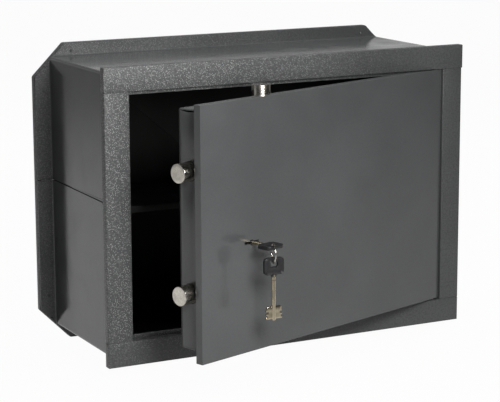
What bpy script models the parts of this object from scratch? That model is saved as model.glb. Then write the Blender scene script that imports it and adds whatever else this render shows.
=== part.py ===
"""A wall safe with its door ajar: welded body, framed mouth, bolted door, lever lock and keys.

Everything is in metres, +Z up. The part's origin is the centre of the rear panel's back face.
The body is laid out from the front: x from the middle, y back from the frame's front face and
z up from the frame's lower edge. The door is laid out the same way, as if it were shut, and is
then turned about its hinge pins.
"""

import math

import bmesh
import bpy
from mathutils import Matrix, Vector

# Front frame, four flat bars welded edge to edge
FRAME_WIDTH = 0.480
FRAME_HEIGHT = 0.350
FRAME_THICKNESS = 0.010
LEFT_STILE_WIDTH = 0.0303
RIGHT_STILE_WIDTH = 0.0279
TOP_RAIL_HEIGHT = 0.0287
BOTTOM_RAIL_HEIGHT = 0.0292
RAIL_OVERHANG = 0.0014
FRAME_EDGE_ROUND = 0.0006

# Body of two folded half shells, and the rear panel that closes it
DEPTH = 0.200
SHELL_THICKNESS = 0.002
SHELL_SIDE_INSET = 0.0084
SHELL_TOP_INSET = 0.0075
SHELL_BOTTOM_INSET = 0.0083
SEAM_HEIGHT = 0.192
SEAM_GAP = 0.0012
REAR_LIP_DEPTH = 0.0093
FLANGE_SIDE_REACH = 0.0204
FLANGE_TOP_REACH = 0.0160
FLANGE_BOTTOM_REACH = 0.0200
FLANGE_CORNER_LEG = 0.0395
FLANGE_STEP = 0.0005
SHELL_BEND_RADIUS = 0.003
REAR_PANEL_THICKNESS = 0.002
REAR_LIP_THICKNESS = 0.002
SEAM_STRIP_HEIGHT = 0.020
SEAM_STRIP_THICKNESS = 0.002
SEAM_STRIP_MARGIN = 0.006

# Strips behind the frame that the shut door meets
STOP_LIP_THICKNESS = 0.003
STOP_LIP_REACH = 0.005
STOP_LIP_HINGE_GAP = 0.012

# Shelf on two angle brackets
SHELF_STRIP_GAP = 0.006
SHELF_THICKNESS = 0.0015
SHELF_FRONT_SETBACK = 0.063
SHELF_LIP_HEIGHT = 0.009
SHELF_SIDE_GAP = 0.0016
SHELF_REAR_GAP = 0.001
BRACKET_THICKNESS = 0.002
BRACKET_HEIGHT = 0.014
BRACKET_REACH = 0.015
BRACKET_FRONT_MARGIN = 0.007
BRACKET_REAR_MARGIN = 0.012

# Door plate and its hinge pins
DOOR_OPEN_DEGREES = 18.93
PLATE_THICKNESS = 0.010
PLATE_GAP_LEFT = 0.0023
PLATE_GAP_RIGHT = 0.0020
PLATE_GAP_TOP = 0.0006
PLATE_GAP_BOTTOM = 0.0018
PLATE_EDGE_ROUND = 0.0005
HINGE_EDGE_DISTANCE = 0.0082
HINGE_PIN_RADIUS = 0.003
HINGE_PIN_ENGAGEMENT = 0.014
HINGE_PIN_CHAMFER = 0.0006
PIN_CLEARANCE = 0.00015
PIN_END_GAP = 0.0006
WASHER_RADIUS = 0.0046
WASHER_THICKNESS = 0.0012

# Folded box behind the plate that holds the boltwork
BOX_SHEET = 0.0015
BOX_DEPTH = 0.031
BOX_INSET_LEFT = 0.0075
BOX_INSET_RIGHT = 0.0200
BOX_INSET_TOP = 0.0072
BOX_INSET_BOTTOM = 0.0120
POST_RADIUS = 0.0045
POST_INSET = 0.012
POST_BORE_DEPTH = 0.010
COVER_SCREW_RADIUS = 0.002
COVER_SCREW_LENGTH = 0.008
SCREW_HEAD_RADIUS = 0.0038
SCREW_HEAD_HEIGHT = 0.0014
SCREW_CLEARANCE = 0.0003

# Locking bolts, their bar and their guides
BOLT_RADIUS = 0.011
BOLT_CHAMFER = 0.0008
BOLT_TRAVEL = 0.016
BOLT_SETBACK = 0.0255
BOLT_CLEARANCE = 0.0004
SIDE_BOLT_REACH = 0.0101
SIDE_BOLT_LENGTH = 0.0505
BOLT_SPACING = 0.1376
TOP_BOLT_DISTANCE = 0.122
TOP_BOLT_REACH = 0.0092
TOP_BOLT_LENGTH = 0.040
BAR_THICKNESS = 0.003
BAR_WIDTH = 0.012
BAR_END_MARGIN = 0.026
BAR_SCREW_RADIUS = 0.0025
BAR_SCREW_LENGTH = 0.012
BAR_SCREW_HEAD_RADIUS = 0.005
BAR_SCREW_HEAD_HEIGHT = 0.003
GUIDE_THICKNESS = 0.003
GUIDE_HEIGHT = 0.026
GUIDE_FOOT = 0.014
GUIDE_END_MARGIN = 0.016
SIDE_GUIDE_DISTANCE = 0.0275
TOP_GUIDE_DISTANCE = 0.016

# Bell crank between the bolt bar and the top bolt
CRANK_ARM = 0.030
CRANK_WIDTH = 0.012
CRANK_THICKNESS = 0.003
CRANK_DROP = 0.01265
CRANK_SETBACK = 0.0256
CRANK_PIN_RADIUS = 0.003
CRANK_PIN_LENGTH = 0.0045
CRANK_STUD_RADIUS = 0.004
CRANK_SHOULDER_RADIUS = 0.006
CRANK_STUD_REST = 0.003
LINK_THICKNESS = 0.004
LINK_HEIGHT = 0.016
LINK_OVERLAP = 0.008
LINK_CRANK_GAP = 0.0006
SLOT_CLEARANCE = 0.0003
SLOT_PLAY = 0.0016
ROD_RADIUS = 0.004
ROD_FOOT_WIDTH = 0.020
ROD_FOOT_DROP = 0.010
ROD_FOOT_RISE = 0.012
ROD_FOOT_OVERLAP = 0.004

# Lever lock
KEYHOLE_DISTANCE = 0.0791
KEYHOLE_DROP = 0.01835
KEYHOLE_WIDTH = 0.0228
KEYHOLE_SLOT = 0.0034
KEYHOLE_CENTRE_RADIUS = 0.003
CASE_SHEET = 0.002
CASE_DEPTH = 0.0254
CASE_LEFT_REACH = 0.0167
CASE_RIGHT_REACH = 0.0453
CASE_BELOW = 0.0175
CASE_ABOVE = 0.0425
CASE_COVER_THICKNESS = 0.0015
CASE_SCREW_INSET = 0.0045
CASE_SCREW_LENGTH = 0.006
CURTAIN_RADIUS = 0.0125
CURTAIN_THICKNESS = 0.0036
CURTAIN_SLOT_WIDTH = 0.0212
CURTAIN_SLOT_HEIGHT = 0.0032
PRONG_INNER = 0.003
PRONG_OUTER = 0.007
PRONG_GAP = 0.0018
PRONG_HEIGHT = 0.003
PRONG_LENGTH = 0.014
TONGUE_SETBACK = 0.0195
TONGUE_THICKNESS = 0.0045
TONGUE_RISE = 0.0125
TONGUE_HEIGHT = 0.012
TONGUE_REACH = 0.0223
TONGUE_SLOT_GAP = 0.0006
STUMP_RADIUS = 0.0025
STUMP_OFFSET = 0.0098
LEVER_COUNT = 4
LEVER_THICKNESS = 0.0017
LEVER_GAP = 0.0003
LEVER_SETBACK = 0.0245
LEVER_LEFT_REACH = 0.0107
LEVER_RIGHT_REACH = 0.0398
LEVER_BOTTOM_RISE = 0.0085
LEVER_TOP_RISE = 0.0335
LEVER_CORNER = 0.002
LEVER_BELLY_RADIUS = 0.0112
LEVER_WINDOW_BELOW = 0.005
LEVER_WINDOW_ABOVE = 0.0065
LEVER_WINDOW_MARGIN = 0.0012
LEVER_POST_RADIUS = 0.003
LEVER_POST_REACH = 0.0333
LEVER_POST_RISE = 0.0285
SPRING_RADIUS = 0.0024
SPRING_WIRE_RADIUS = 0.0004
SPRING_TURNS = 4
SPRING_OFFSET = 0.004
SPRING_POINTS_PER_TURN = 10

# Keys and their ring
KEY_LENGTH = 0.0715
BOW_WIDTH = 0.0245
BOW_LENGTH = 0.0195
BOW_THICKNESS = 0.0045
BOW_CORNER = 0.0042
BOW_STRIP = 0.0045
BOW_EDGE_ROUND = 0.0006
BOW_HOLE_WIDTH = 0.0088
BOW_HOLE_LENGTH = 0.0060
BOW_HOLE_CORNER = 0.0015
NOSE_LENGTH = 0.0022
NOSE_WIDE = 0.0080
NOSE_NARROW = 0.0060
SHANK_RADIUS = 0.00225
SHANK_SOCKET = 0.007
SHANK_SOCKET_GAP = 0.0002
BIT_WIDTH = 0.0200
BIT_LENGTH = 0.0146
BIT_THICKNESS = 0.0024
BIT_TIP = 0.0017
NOTCH_DEPTHS = (0.0016, 0.0030, 0.0008)
NOTCH_WIDTH = 0.0022
NOTCH_STEP = 0.0042
KEY_STAND_OUT = 0.0386
RING_RADIUS = 0.011
RING_WIRE_RADIUS = 0.001
RING_TURN_DEGREES = 35.2
RING_SHIFT = 0.0090
RING_DROP = 0.0056
SPARE_DROP_GAP = 0.0007

# Shared fits and meshing
SEAT_GAP = 0.0003
OVERRUN = 0.004
ROUND_STEPS = 32
SMALL_ROUND_STEPS = 16
RING_STEPS = 32
CORNER_STEPS = 4
MERGE_DISTANCE = 0.00001
SHARP_EDGE_DEGREES = 30

# Places that follow from the sizes above
LEFT_EDGE = -FRAME_WIDTH / 2
RIGHT_EDGE = FRAME_WIDTH / 2
MOUTH_LEFT = LEFT_EDGE + LEFT_STILE_WIDTH
MOUTH_RIGHT = RIGHT_EDGE - RIGHT_STILE_WIDTH
MOUTH_TOP = FRAME_HEIGHT - TOP_RAIL_HEIGHT
MOUTH_BOTTOM = BOTTOM_RAIL_HEIGHT
SHELL_LEFT = LEFT_EDGE + SHELL_SIDE_INSET
SHELL_RIGHT = RIGHT_EDGE - SHELL_SIDE_INSET
SHELL_TOP = FRAME_HEIGHT - SHELL_TOP_INSET
SHELL_BOTTOM = SHELL_BOTTOM_INSET
SHELL_FRONT = FRAME_THICKNESS + SEAT_GAP
SHELF_HEIGHT = SEAM_HEIGHT - SEAM_STRIP_HEIGHT / 2 - SHELF_STRIP_GAP
FLANGE_REAR = DEPTH - REAR_LIP_DEPTH - SEAT_GAP
FLANGE_FRONT = FLANGE_REAR - SHELL_THICKNESS
PLATE_LEFT = MOUTH_LEFT + PLATE_GAP_LEFT
PLATE_RIGHT = MOUTH_RIGHT - PLATE_GAP_RIGHT
PLATE_TOP = MOUTH_TOP - PLATE_GAP_TOP
PLATE_BOTTOM = MOUTH_BOTTOM + PLATE_GAP_BOTTOM
PLATE_MIDDLE = (PLATE_BOTTOM + PLATE_TOP) / 2
UPPER_BOLT_HEIGHT = PLATE_MIDDLE + BOLT_SPACING / 2
LOWER_BOLT_HEIGHT = PLATE_MIDDLE - BOLT_SPACING / 2
KEYHOLE_HEIGHT = PLATE_MIDDLE - KEYHOLE_DROP
CRANK_HEIGHT = UPPER_BOLT_HEIGHT - CRANK_DROP
HINGE_X = PLATE_RIGHT - HINGE_EDGE_DISTANCE
HINGE_Y = PLATE_THICKNESS / 2
BOX_LEFT = PLATE_LEFT + BOX_INSET_LEFT
BOX_RIGHT = PLATE_RIGHT - BOX_INSET_RIGHT
BOX_TOP = PLATE_TOP - BOX_INSET_TOP
BOX_BOTTOM = PLATE_BOTTOM + BOX_INSET_BOTTOM
BOX_FRONT = PLATE_THICKNESS + SEAT_GAP
BOX_REAR = PLATE_THICKNESS + BOX_DEPTH
COVER_FRONT = BOX_REAR - BOX_SHEET
KEYHOLE_X = PLATE_LEFT + KEYHOLE_DISTANCE
TOP_BOLT_X = PLATE_LEFT + TOP_BOLT_DISTANCE
SIDE_BOLT_TIP = PLATE_LEFT - SIDE_BOLT_REACH
SIDE_BOLT_TAIL = SIDE_BOLT_TIP + SIDE_BOLT_LENGTH
BAR_LEFT = SIDE_BOLT_TAIL + SEAT_GAP
BAR_RIGHT = BAR_LEFT + BAR_THICKNESS
CRANK_X = TOP_BOLT_X - CRANK_ARM
CRANK_HALF_SWING = BOLT_TRAVEL / 2 / CRANK_ARM
CASE_REAR = BOX_FRONT + CASE_DEPTH
STUMP_X = KEYHOLE_X + STUMP_OFFSET
STUMP_HEIGHT = KEYHOLE_HEIGHT + TONGUE_RISE + TONGUE_HEIGHT / 2
LEVER_STACK = LEVER_COUNT * LEVER_THICKNESS + (LEVER_COUNT - 1) * LEVER_GAP

ASSEMBLY = "wall_safe"
CUTTERS = "wall_safe_cutters"


def make_collections():
    for kept in list(bpy.data.objects):
        bpy.data.objects.remove(kept)
    for title in (ASSEMBLY, CUTTERS):
        collection = bpy.data.collections.new(title)
        bpy.context.scene.collection.children.link(collection)


def material(title, colour, roughness, metallic):
    """A plain finish: colour, roughness and metallic value."""
    made = bpy.data.materials.get(title)
    if made is None:
        made = bpy.data.materials.new(title)
        made.use_nodes = True
        shader = made.node_tree.nodes["Principled BSDF"]
        shader.inputs["Base Color"].default_value = (*colour, 1)
        shader.inputs["Roughness"].default_value = roughness
        shader.inputs["Metallic"].default_value = metallic
    return made


def hammertone():
    return material("hammertone_paint", (0.085, 0.092, 0.094), 0.45, 0.3)


def satin():
    return material("satin_paint", (0.090, 0.092, 0.094), 0.50, 0.2)


def dark_sheet():
    return material("dark_sheet", (0.012, 0.012, 0.012), 0.60, 0.1)


def nickel():
    return material("nickel_plate", (0.62, 0.58, 0.51), 0.28, 1.0)


def zinc():
    return material("zinc_plate", (0.50, 0.50, 0.48), 0.38, 1.0)


def steel():
    return material("bright_steel", (0.42, 0.42, 0.42), 0.35, 1.0)


def brass():
    return material("key_brass", (0.60, 0.52, 0.38), 0.35, 1.0)


def black_plastic():
    return material("black_plastic", (0.012, 0.012, 0.013), 0.42, 0.0)


def add_object(title, mesh, finish, parent, place):
    made = bpy.data.objects.new(title, mesh)
    bpy.data.collections[ASSEMBLY].objects.link(made)
    made.parent = parent
    made.location = place
    if finish is not None:
        mesh.materials.append(finish)
    return made


def add_empty(title, parent, place, turn=(0, 0, 0)):
    made = add_object(title, None, None, parent, place)
    made.rotation_euler = turn
    return made


def block(title, low, high, finish, parent):
    """A box between two opposite corners, in the parent's coordinates."""
    low, high = Vector(low), Vector(high)
    mesh = bpy.data.meshes.new(title)
    shape = bmesh.new()
    bmesh.ops.create_cube(shape, size=1)
    bmesh.ops.scale(shape, vec=high - low, verts=shape.verts)
    shape.to_mesh(mesh)
    shape.free()
    return add_object(title, mesh, finish, parent, (low + high) / 2)


TURN_TO_AXIS = {
    "x": (0, math.radians(90), 0),
    "y": (math.radians(-90), 0, 0),
    "z": (0, 0, 0),
}


def turned(title, profile, finish, parent, place, axis="z", steps=ROUND_STEPS):
    """A solid of revolution. The profile lists (radius, height) down its outer side from the top."""
    mesh = bpy.data.meshes.new(title)
    points = [(radius, 0, height) for radius, height in profile]
    mesh.from_pydata(points, [(i, i + 1) for i in range(len(points) - 1)], [])
    made = add_object(title, mesh, finish, parent, place)
    made.rotation_euler = TURN_TO_AXIS[axis]
    screw = made.modifiers.new("turn", "SCREW")
    screw.steps = steps
    screw.render_steps = steps
    screw.use_merge_vertices = True
    screw.merge_threshold = MERGE_DISTANCE
    return made


def rod_profile(radius, length, chamfer=0):
    """A plain rod from height zero up, with both rims chamfered."""
    if not chamfer:
        return [(0, length), (radius, length), (radius, 0), (0, 0)]
    return [
        (0, length),
        (radius - chamfer, length),
        (radius, length - chamfer),
        (radius, chamfer),
        (radius - chamfer, 0),
        (0, 0),
    ]


def rod_cutter(title, radius, length, parent, place, axis, steps=ROUND_STEPS):
    """A round cutter of this length, centred on its place."""
    half = length / 2
    profile = [(0, half), (radius, half), (radius, -half), (0, -half)]
    return turned(title, profile, None, parent, place, axis, steps)


def rounded(corners, radius, steps=CORNER_STEPS):
    """The outline through these corners, each taken off by an arc of the radius."""
    outline = []
    count = len(corners)
    for i, corner in enumerate(corners):
        here = Vector(corner)
        before = (Vector(corners[i - 1]) - here).normalized()
        after = (Vector(corners[(i + 1) % count]) - here).normalized()
        half = before.angle(after) / 2
        reach = radius / math.tan(half)
        centre = here + (before + after).normalized() * radius / math.sin(half)
        start = here + before * reach - centre
        end = here + after * reach - centre
        sweep = start.angle_signed(end)
        for k in range(steps + 1):
            turn = Matrix.Rotation(-sweep * k / steps, 2)
            outline.append(tuple(centre + turn @ start))
    return outline


def rectangle(left, bottom, right, top):
    return [(left, bottom), (right, bottom), (right, top), (left, top)]


def flat(title, outlines, thickness, finish, parent, place):
    """An upright plate from closed x-z outlines, the later ones its holes, placed at mid thickness."""
    curve = bpy.data.curves.new(title, "CURVE")
    curve.dimensions = "2D"
    curve.fill_mode = "BOTH"
    curve.extrude = thickness / 2
    for outline in outlines:
        spline = curve.splines.new("POLY")
        spline.points.add(len(outline) - 1)
        for point, (x, y) in zip(spline.points, outline):
            point.co = (x, y, 0, 1)
        spline.use_cyclic_u = True
    drawn = add_object(title + "_outline", curve, None, parent, place)
    drawn.rotation_euler = (math.radians(90), 0, 0)
    return solid_from_curve(drawn, title, finish, parent, place)


def solid_from_curve(drawn, title, finish, parent, place):
    """Turns a curve object into a welded mesh object in the same place, and removes the curve."""
    bpy.context.view_layer.update()
    graph = bpy.context.evaluated_depsgraph_get()
    mesh = bpy.data.meshes.new_from_object(drawn.evaluated_get(graph))
    mesh.name = title
    mesh.materials.clear()
    shape = bmesh.new()
    shape.from_mesh(mesh)
    bmesh.ops.remove_doubles(shape, verts=shape.verts, dist=MERGE_DISTANCE)
    bmesh.ops.recalc_face_normals(shape, faces=shape.faces)
    shape.to_mesh(mesh)
    shape.free()
    made = add_object(title, mesh, finish, parent, place)
    made.rotation_euler = drawn.rotation_euler
    bpy.data.objects.remove(drawn)
    return made


def tube(title, points, radius, closed, finish, parent, place, resolution=1):
    """A round wire along points, closed into a loop or capped at both ends."""
    curve = bpy.data.curves.new(title, "CURVE")
    curve.dimensions = "3D"
    curve.bevel_depth = radius
    curve.bevel_resolution = resolution
    curve.use_fill_caps = not closed
    spline = curve.splines.new("POLY")
    spline.points.add(len(points) - 1)
    for point, where in zip(spline.points, points):
        point.co = (*where, 1)
    spline.use_cyclic_u = closed
    drawn = add_object(title + "_path", curve, None, parent, place)
    return solid_from_curve(drawn, title, finish, parent, place)


def combine(target, tool, operation):
    """Cuts the tool from the target or joins it on, and keeps the tool as a hidden guide."""
    bpy.data.collections[ASSEMBLY].objects.unlink(tool)
    bpy.data.collections[CUTTERS].objects.link(tool)
    tool.hide_render = True
    tool.display_type = "WIRE"
    change = target.modifiers.new(tool.name, "BOOLEAN")
    change.operation = operation
    change.object = tool


def cut(target, *tools):
    for tool in tools:
        combine(target, tool, "DIFFERENCE")


def join(target, *tools):
    for tool in tools:
        combine(target, tool, "UNION")


def round_edges(target, width, segments=2):
    """Rounds the sharp edges of a finished solid."""
    bevel = target.modifiers.new("edges", "BEVEL")
    bevel.width = width
    bevel.segments = segments
    bevel.limit_method = "ANGLE"


def in_door(x, y, z):
    """A place on the shut door, as seen from the hinge axis."""
    return (x - HINGE_X, y - HINGE_Y, z)


def body_block(title, low, high, finish, edge=0):
    made = block(title, low, high, finish, SAFE)
    if edge:
        round_edges(made, edge)
    return made


def door_block(title, low, high, finish, parent=None):
    """A box between two opposite corners of the shut door."""
    return block(title, in_door(*low), in_door(*high), finish, parent or DOOR)


def flange_outline(inset=0):
    """The rear flange's eight-cornered outline, drawn in by an inset all round."""
    left = SHELL_LEFT - FLANGE_SIDE_REACH + inset
    right = SHELL_RIGHT + FLANGE_SIDE_REACH - inset
    top = SHELL_TOP + FLANGE_TOP_REACH - inset
    bottom = SHELL_BOTTOM - FLANGE_BOTTOM_REACH + inset
    leg = FLANGE_CORNER_LEG - inset * (2 - math.sqrt(2))
    return [
        (left + leg, bottom),
        (right - leg, bottom),
        (right, bottom + leg),
        (right, top - leg),
        (right - leg, top),
        (left + leg, top),
        (left, top - leg),
        (left, bottom + leg),
    ]


def build_frame():
    """The four bars round the mouth. The rails run across and the stiles stand between them."""
    short_right = RIGHT_EDGE - RAIL_OVERHANG
    top = body_block(
        "frame_top_rail",
        (LEFT_EDGE, 0, MOUTH_TOP),
        (RIGHT_EDGE, FRAME_THICKNESS, FRAME_HEIGHT),
        hammertone(),
        FRAME_EDGE_ROUND,
    )
    bottom = body_block(
        "frame_bottom_rail",
        (LEFT_EDGE, 0, 0),
        (short_right, FRAME_THICKNESS, MOUTH_BOTTOM),
        hammertone(),
        FRAME_EDGE_ROUND,
    )
    stile_bottom = MOUTH_BOTTOM + SEAT_GAP
    stile_top = MOUTH_TOP - SEAT_GAP
    stiles = (("left", LEFT_EDGE, MOUTH_LEFT), ("right", MOUTH_RIGHT, short_right))
    for side, start, end in stiles:
        body_block(
            f"frame_{side}_stile",
            (start, 0, stile_bottom),
            (end, FRAME_THICKNESS, stile_top),
            hammertone(),
            FRAME_EDGE_ROUND,
        )
    bore = HINGE_PIN_RADIUS + PIN_CLEARANCE
    depth = HINGE_PIN_ENGAGEMENT + PIN_END_GAP
    for rail, level in ((top, MOUTH_TOP), (bottom, MOUTH_BOTTOM)):
        place = (HINGE_X, HINGE_Y, level)
        cut(rail, rod_cutter(rail.name + "_bore", bore, 2 * depth, SAFE, place, "z"))


def wall_outline(inset=0):
    """The body's outline seen from the front, with its bends, drawn in by an inset all round."""
    return rounded(
        rectangle(
            SHELL_LEFT + inset, SHELL_BOTTOM + inset, SHELL_RIGHT - inset, SHELL_TOP - inset
        ),
        SHELL_BEND_RADIUS - inset,
    )


def build_shell(title, low, high):
    """Half of the folded body with its rear flange. The other half, low to high, is cut off."""
    length = FLANGE_REAR - SHELL_FRONT
    middle = (0, SHELL_FRONT + length / 2, 0)
    walls = flat(title, [wall_outline()], length, satin(), SAFE, middle)
    flange_middle = (0, FLANGE_REAR - SHELL_THICKNESS / 2, 0)
    flange = flat(
        title + "_flange",
        [flange_outline(FLANGE_STEP)],
        SHELL_THICKNESS,
        None,
        SAFE,
        flange_middle,
    )
    hollow = flat(
        title + "_hollow",
        [wall_outline(SHELL_THICKNESS)],
        length + 2 * OVERRUN,
        None,
        SAFE,
        middle,
    )
    far = FRAME_WIDTH + OVERRUN
    other_half = block(title + "_other_half", (-far, -far, low), (far, far, high), None, SAFE)
    join(walls, flange)
    cut(walls, hollow, other_half)


def build_body():
    beyond = FRAME_HEIGHT + OVERRUN
    build_shell("upper_shell", -beyond, SEAM_HEIGHT + SEAM_GAP / 2)
    build_shell("lower_shell", SEAM_HEIGHT - SEAM_GAP / 2, 2 * beyond)
    strip_front = SHELL_FRONT + STOP_LIP_THICKNESS + SEAM_STRIP_MARGIN
    strip_rear = FLANGE_FRONT - SEAM_STRIP_MARGIN
    for side, sign in (("left", -1), ("right", 1)):
        outer = sign * (SHELL_RIGHT - SHELL_THICKNESS - SEAT_GAP)
        inner = outer - sign * SEAM_STRIP_THICKNESS
        low = (min(outer, inner), strip_front, SEAM_HEIGHT - SEAM_STRIP_HEIGHT / 2)
        high = (max(outer, inner), strip_rear, SEAM_HEIGHT + SEAM_STRIP_HEIGHT / 2)
        body_block(f"seam_strip_{side}", low, high, dark_sheet())


def build_rear_panel():
    """A shallow tray that closes the back. Its rim stands forward against the body's flange."""
    middle = DEPTH - REAR_LIP_DEPTH / 2
    panel = flat(
        "rear_panel", [flange_outline()], REAR_LIP_DEPTH, hammertone(), SAFE, (0, middle, 0)
    )
    pocket_depth = REAR_LIP_DEPTH - REAR_PANEL_THICKNESS + OVERRUN
    pocket_middle = DEPTH - REAR_PANEL_THICKNESS - pocket_depth / 2
    pocket = flat(
        "rear_panel_pocket",
        [flange_outline(REAR_LIP_THICKNESS)],
        pocket_depth,
        None,
        SAFE,
        (0, pocket_middle, 0),
    )
    cut(panel, pocket)


def build_stop_lips():
    """Strips behind the frame that stand into its mouth on the three sides that the door meets."""
    front = SHELL_FRONT
    rear = front + STOP_LIP_THICKNESS
    wall = SHELL_THICKNESS + SEAT_GAP
    left, right = SHELL_LEFT + wall, HINGE_X - STOP_LIP_HINGE_GAP
    top_edge = MOUTH_TOP - STOP_LIP_REACH
    bottom_edge = MOUTH_BOTTOM + STOP_LIP_REACH
    left_edge = MOUTH_LEFT + STOP_LIP_REACH
    top_wall, bottom_wall = SHELL_TOP - wall, SHELL_BOTTOM + wall
    body_block("stop_lip_top", (left, front, top_edge), (right, rear, top_wall), hammertone())
    body_block(
        "stop_lip_bottom", (left, front, bottom_wall), (right, rear, bottom_edge), hammertone()
    )
    body_block(
        "stop_lip_left",
        (left, front, bottom_edge + SEAT_GAP),
        (left_edge, rear, top_edge - SEAT_GAP),
        hammertone(),
    )


def build_shelf():
    side = SHELL_RIGHT - SHELL_THICKNESS - SHELF_SIDE_GAP
    rear = DEPTH - REAR_PANEL_THICKNESS - SHELF_REAR_GAP
    under = SHELF_HEIGHT - SHELF_THICKNESS
    shelf = body_block(
        "shelf", (-side, SHELF_FRONT_SETBACK, under), (side, rear, SHELF_HEIGHT), dark_sheet()
    )
    lip = block(
        "shelf_lip",
        (-side, SHELF_FRONT_SETBACK, SHELF_HEIGHT - SHELF_LIP_HEIGHT),
        (side, SHELF_FRONT_SETBACK + SHELF_THICKNESS, SHELF_HEIGHT),
        None,
        SAFE,
    )
    join(shelf, lip)
    front = SHELF_FRONT_SETBACK + BRACKET_FRONT_MARGIN
    back = DEPTH - BRACKET_REAR_MARGIN
    top = under - SEAT_GAP
    for name, sign in (("left", -1), ("right", 1)):
        wall = sign * (SHELL_RIGHT - SHELL_THICKNESS - SEAT_GAP)
        leg = wall - sign * BRACKET_THICKNESS
        tip = wall - sign * BRACKET_REACH
        bracket = body_block(
            f"shelf_bracket_{name}",
            (min(wall, leg), front, top - BRACKET_HEIGHT),
            (max(wall, leg), back, top),
            dark_sheet(),
        )
        ledge = block(
            f"shelf_ledge_{name}",
            (min(wall, tip), front, top - BRACKET_THICKNESS),
            (max(wall, tip), back, top),
            None,
            SAFE,
        )
        join(bracket, ledge)


def build_hinge():
    """Two pins on one upright axis, half in the rails and half in the door plate's ends."""
    length = 2 * HINGE_PIN_ENGAGEMENT
    profile = rod_profile(HINGE_PIN_RADIUS, length, HINGE_PIN_CHAMFER)
    for side, level in (("upper", MOUTH_TOP), ("lower", MOUTH_BOTTOM)):
        place = (HINGE_X, HINGE_Y, level - HINGE_PIN_ENGAGEMENT)
        turned(f"hinge_pin_{side}", profile, steel(), SAFE, place, "z", SMALL_ROUND_STEPS)
    washer = turned(
        "hinge_washer",
        rod_profile(WASHER_RADIUS, WASHER_THICKNESS),
        brass(),
        SAFE,
        (HINGE_X, HINGE_Y, MOUTH_BOTTOM + SEAT_GAP),
        "z",
    )
    bore = HINGE_PIN_RADIUS + PIN_CLEARANCE
    cut(
        washer,
        rod_cutter(
            "hinge_washer_bore",
            bore,
            2 * OVERRUN,
            SAFE,
            (HINGE_X, HINGE_Y, MOUTH_BOTTOM),
            "z",
        ),
    )


def keyhole_cutter(title, centre, length):
    """The keyhole's shape: a level slot with a round middle, cut along the door's thickness."""
    slot = door_block(
        title + "_slot",
        (centre[0] - KEYHOLE_WIDTH / 2, centre[1] - length / 2, centre[2] - KEYHOLE_SLOT / 2),
        (centre[0] + KEYHOLE_WIDTH / 2, centre[1] + length / 2, centre[2] + KEYHOLE_SLOT / 2),
        None,
    )
    middle = rod_cutter(
        title + "_middle", KEYHOLE_CENTRE_RADIUS, length, DOOR, in_door(*centre), "y"
    )
    return slot, middle


def build_door_plate():
    plate = door_block(
        "door_plate", (PLATE_LEFT, 0, PLATE_BOTTOM), (PLATE_RIGHT, PLATE_THICKNESS, PLATE_TOP), satin()
    )
    round_edges(plate, PLATE_EDGE_ROUND)
    middle = PLATE_THICKNESS / 2
    cutter_length = PLATE_THICKNESS + 2 * OVERRUN
    cut(plate, *keyhole_cutter("plate_keyhole", (KEYHOLE_X, middle, KEYHOLE_HEIGHT), cutter_length))
    bore = HINGE_PIN_RADIUS + PIN_CLEARANCE
    depth = HINGE_PIN_ENGAGEMENT + PIN_END_GAP
    for side, level in (("upper", MOUTH_TOP), ("lower", MOUTH_BOTTOM)):
        place = in_door(HINGE_X, HINGE_Y, level)
        cut(plate, rod_cutter(f"plate_{side}_bore", bore, 2 * depth, DOOR, place, "z"))


def post_places():
    """Where the four cover posts stand, in the box's corners."""
    for across, x in (("left", BOX_LEFT + POST_INSET), ("right", BOX_RIGHT - POST_INSET)):
        for up, z in (("lower", BOX_BOTTOM + POST_INSET), ("upper", BOX_TOP - POST_INSET)):
            yield f"{up}_{across}", x, z


def screw_profile(radius, length, head_radius, head_height):
    """A pan-head screw whose shank hangs below height zero."""
    crown = head_height / 2
    return [
        (0, head_height),
        (head_radius - crown, head_height),
        (head_radius, crown),
        (head_radius, 0),
        (radius, 0),
        (radius, -length),
        (0, -length),
    ]


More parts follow.
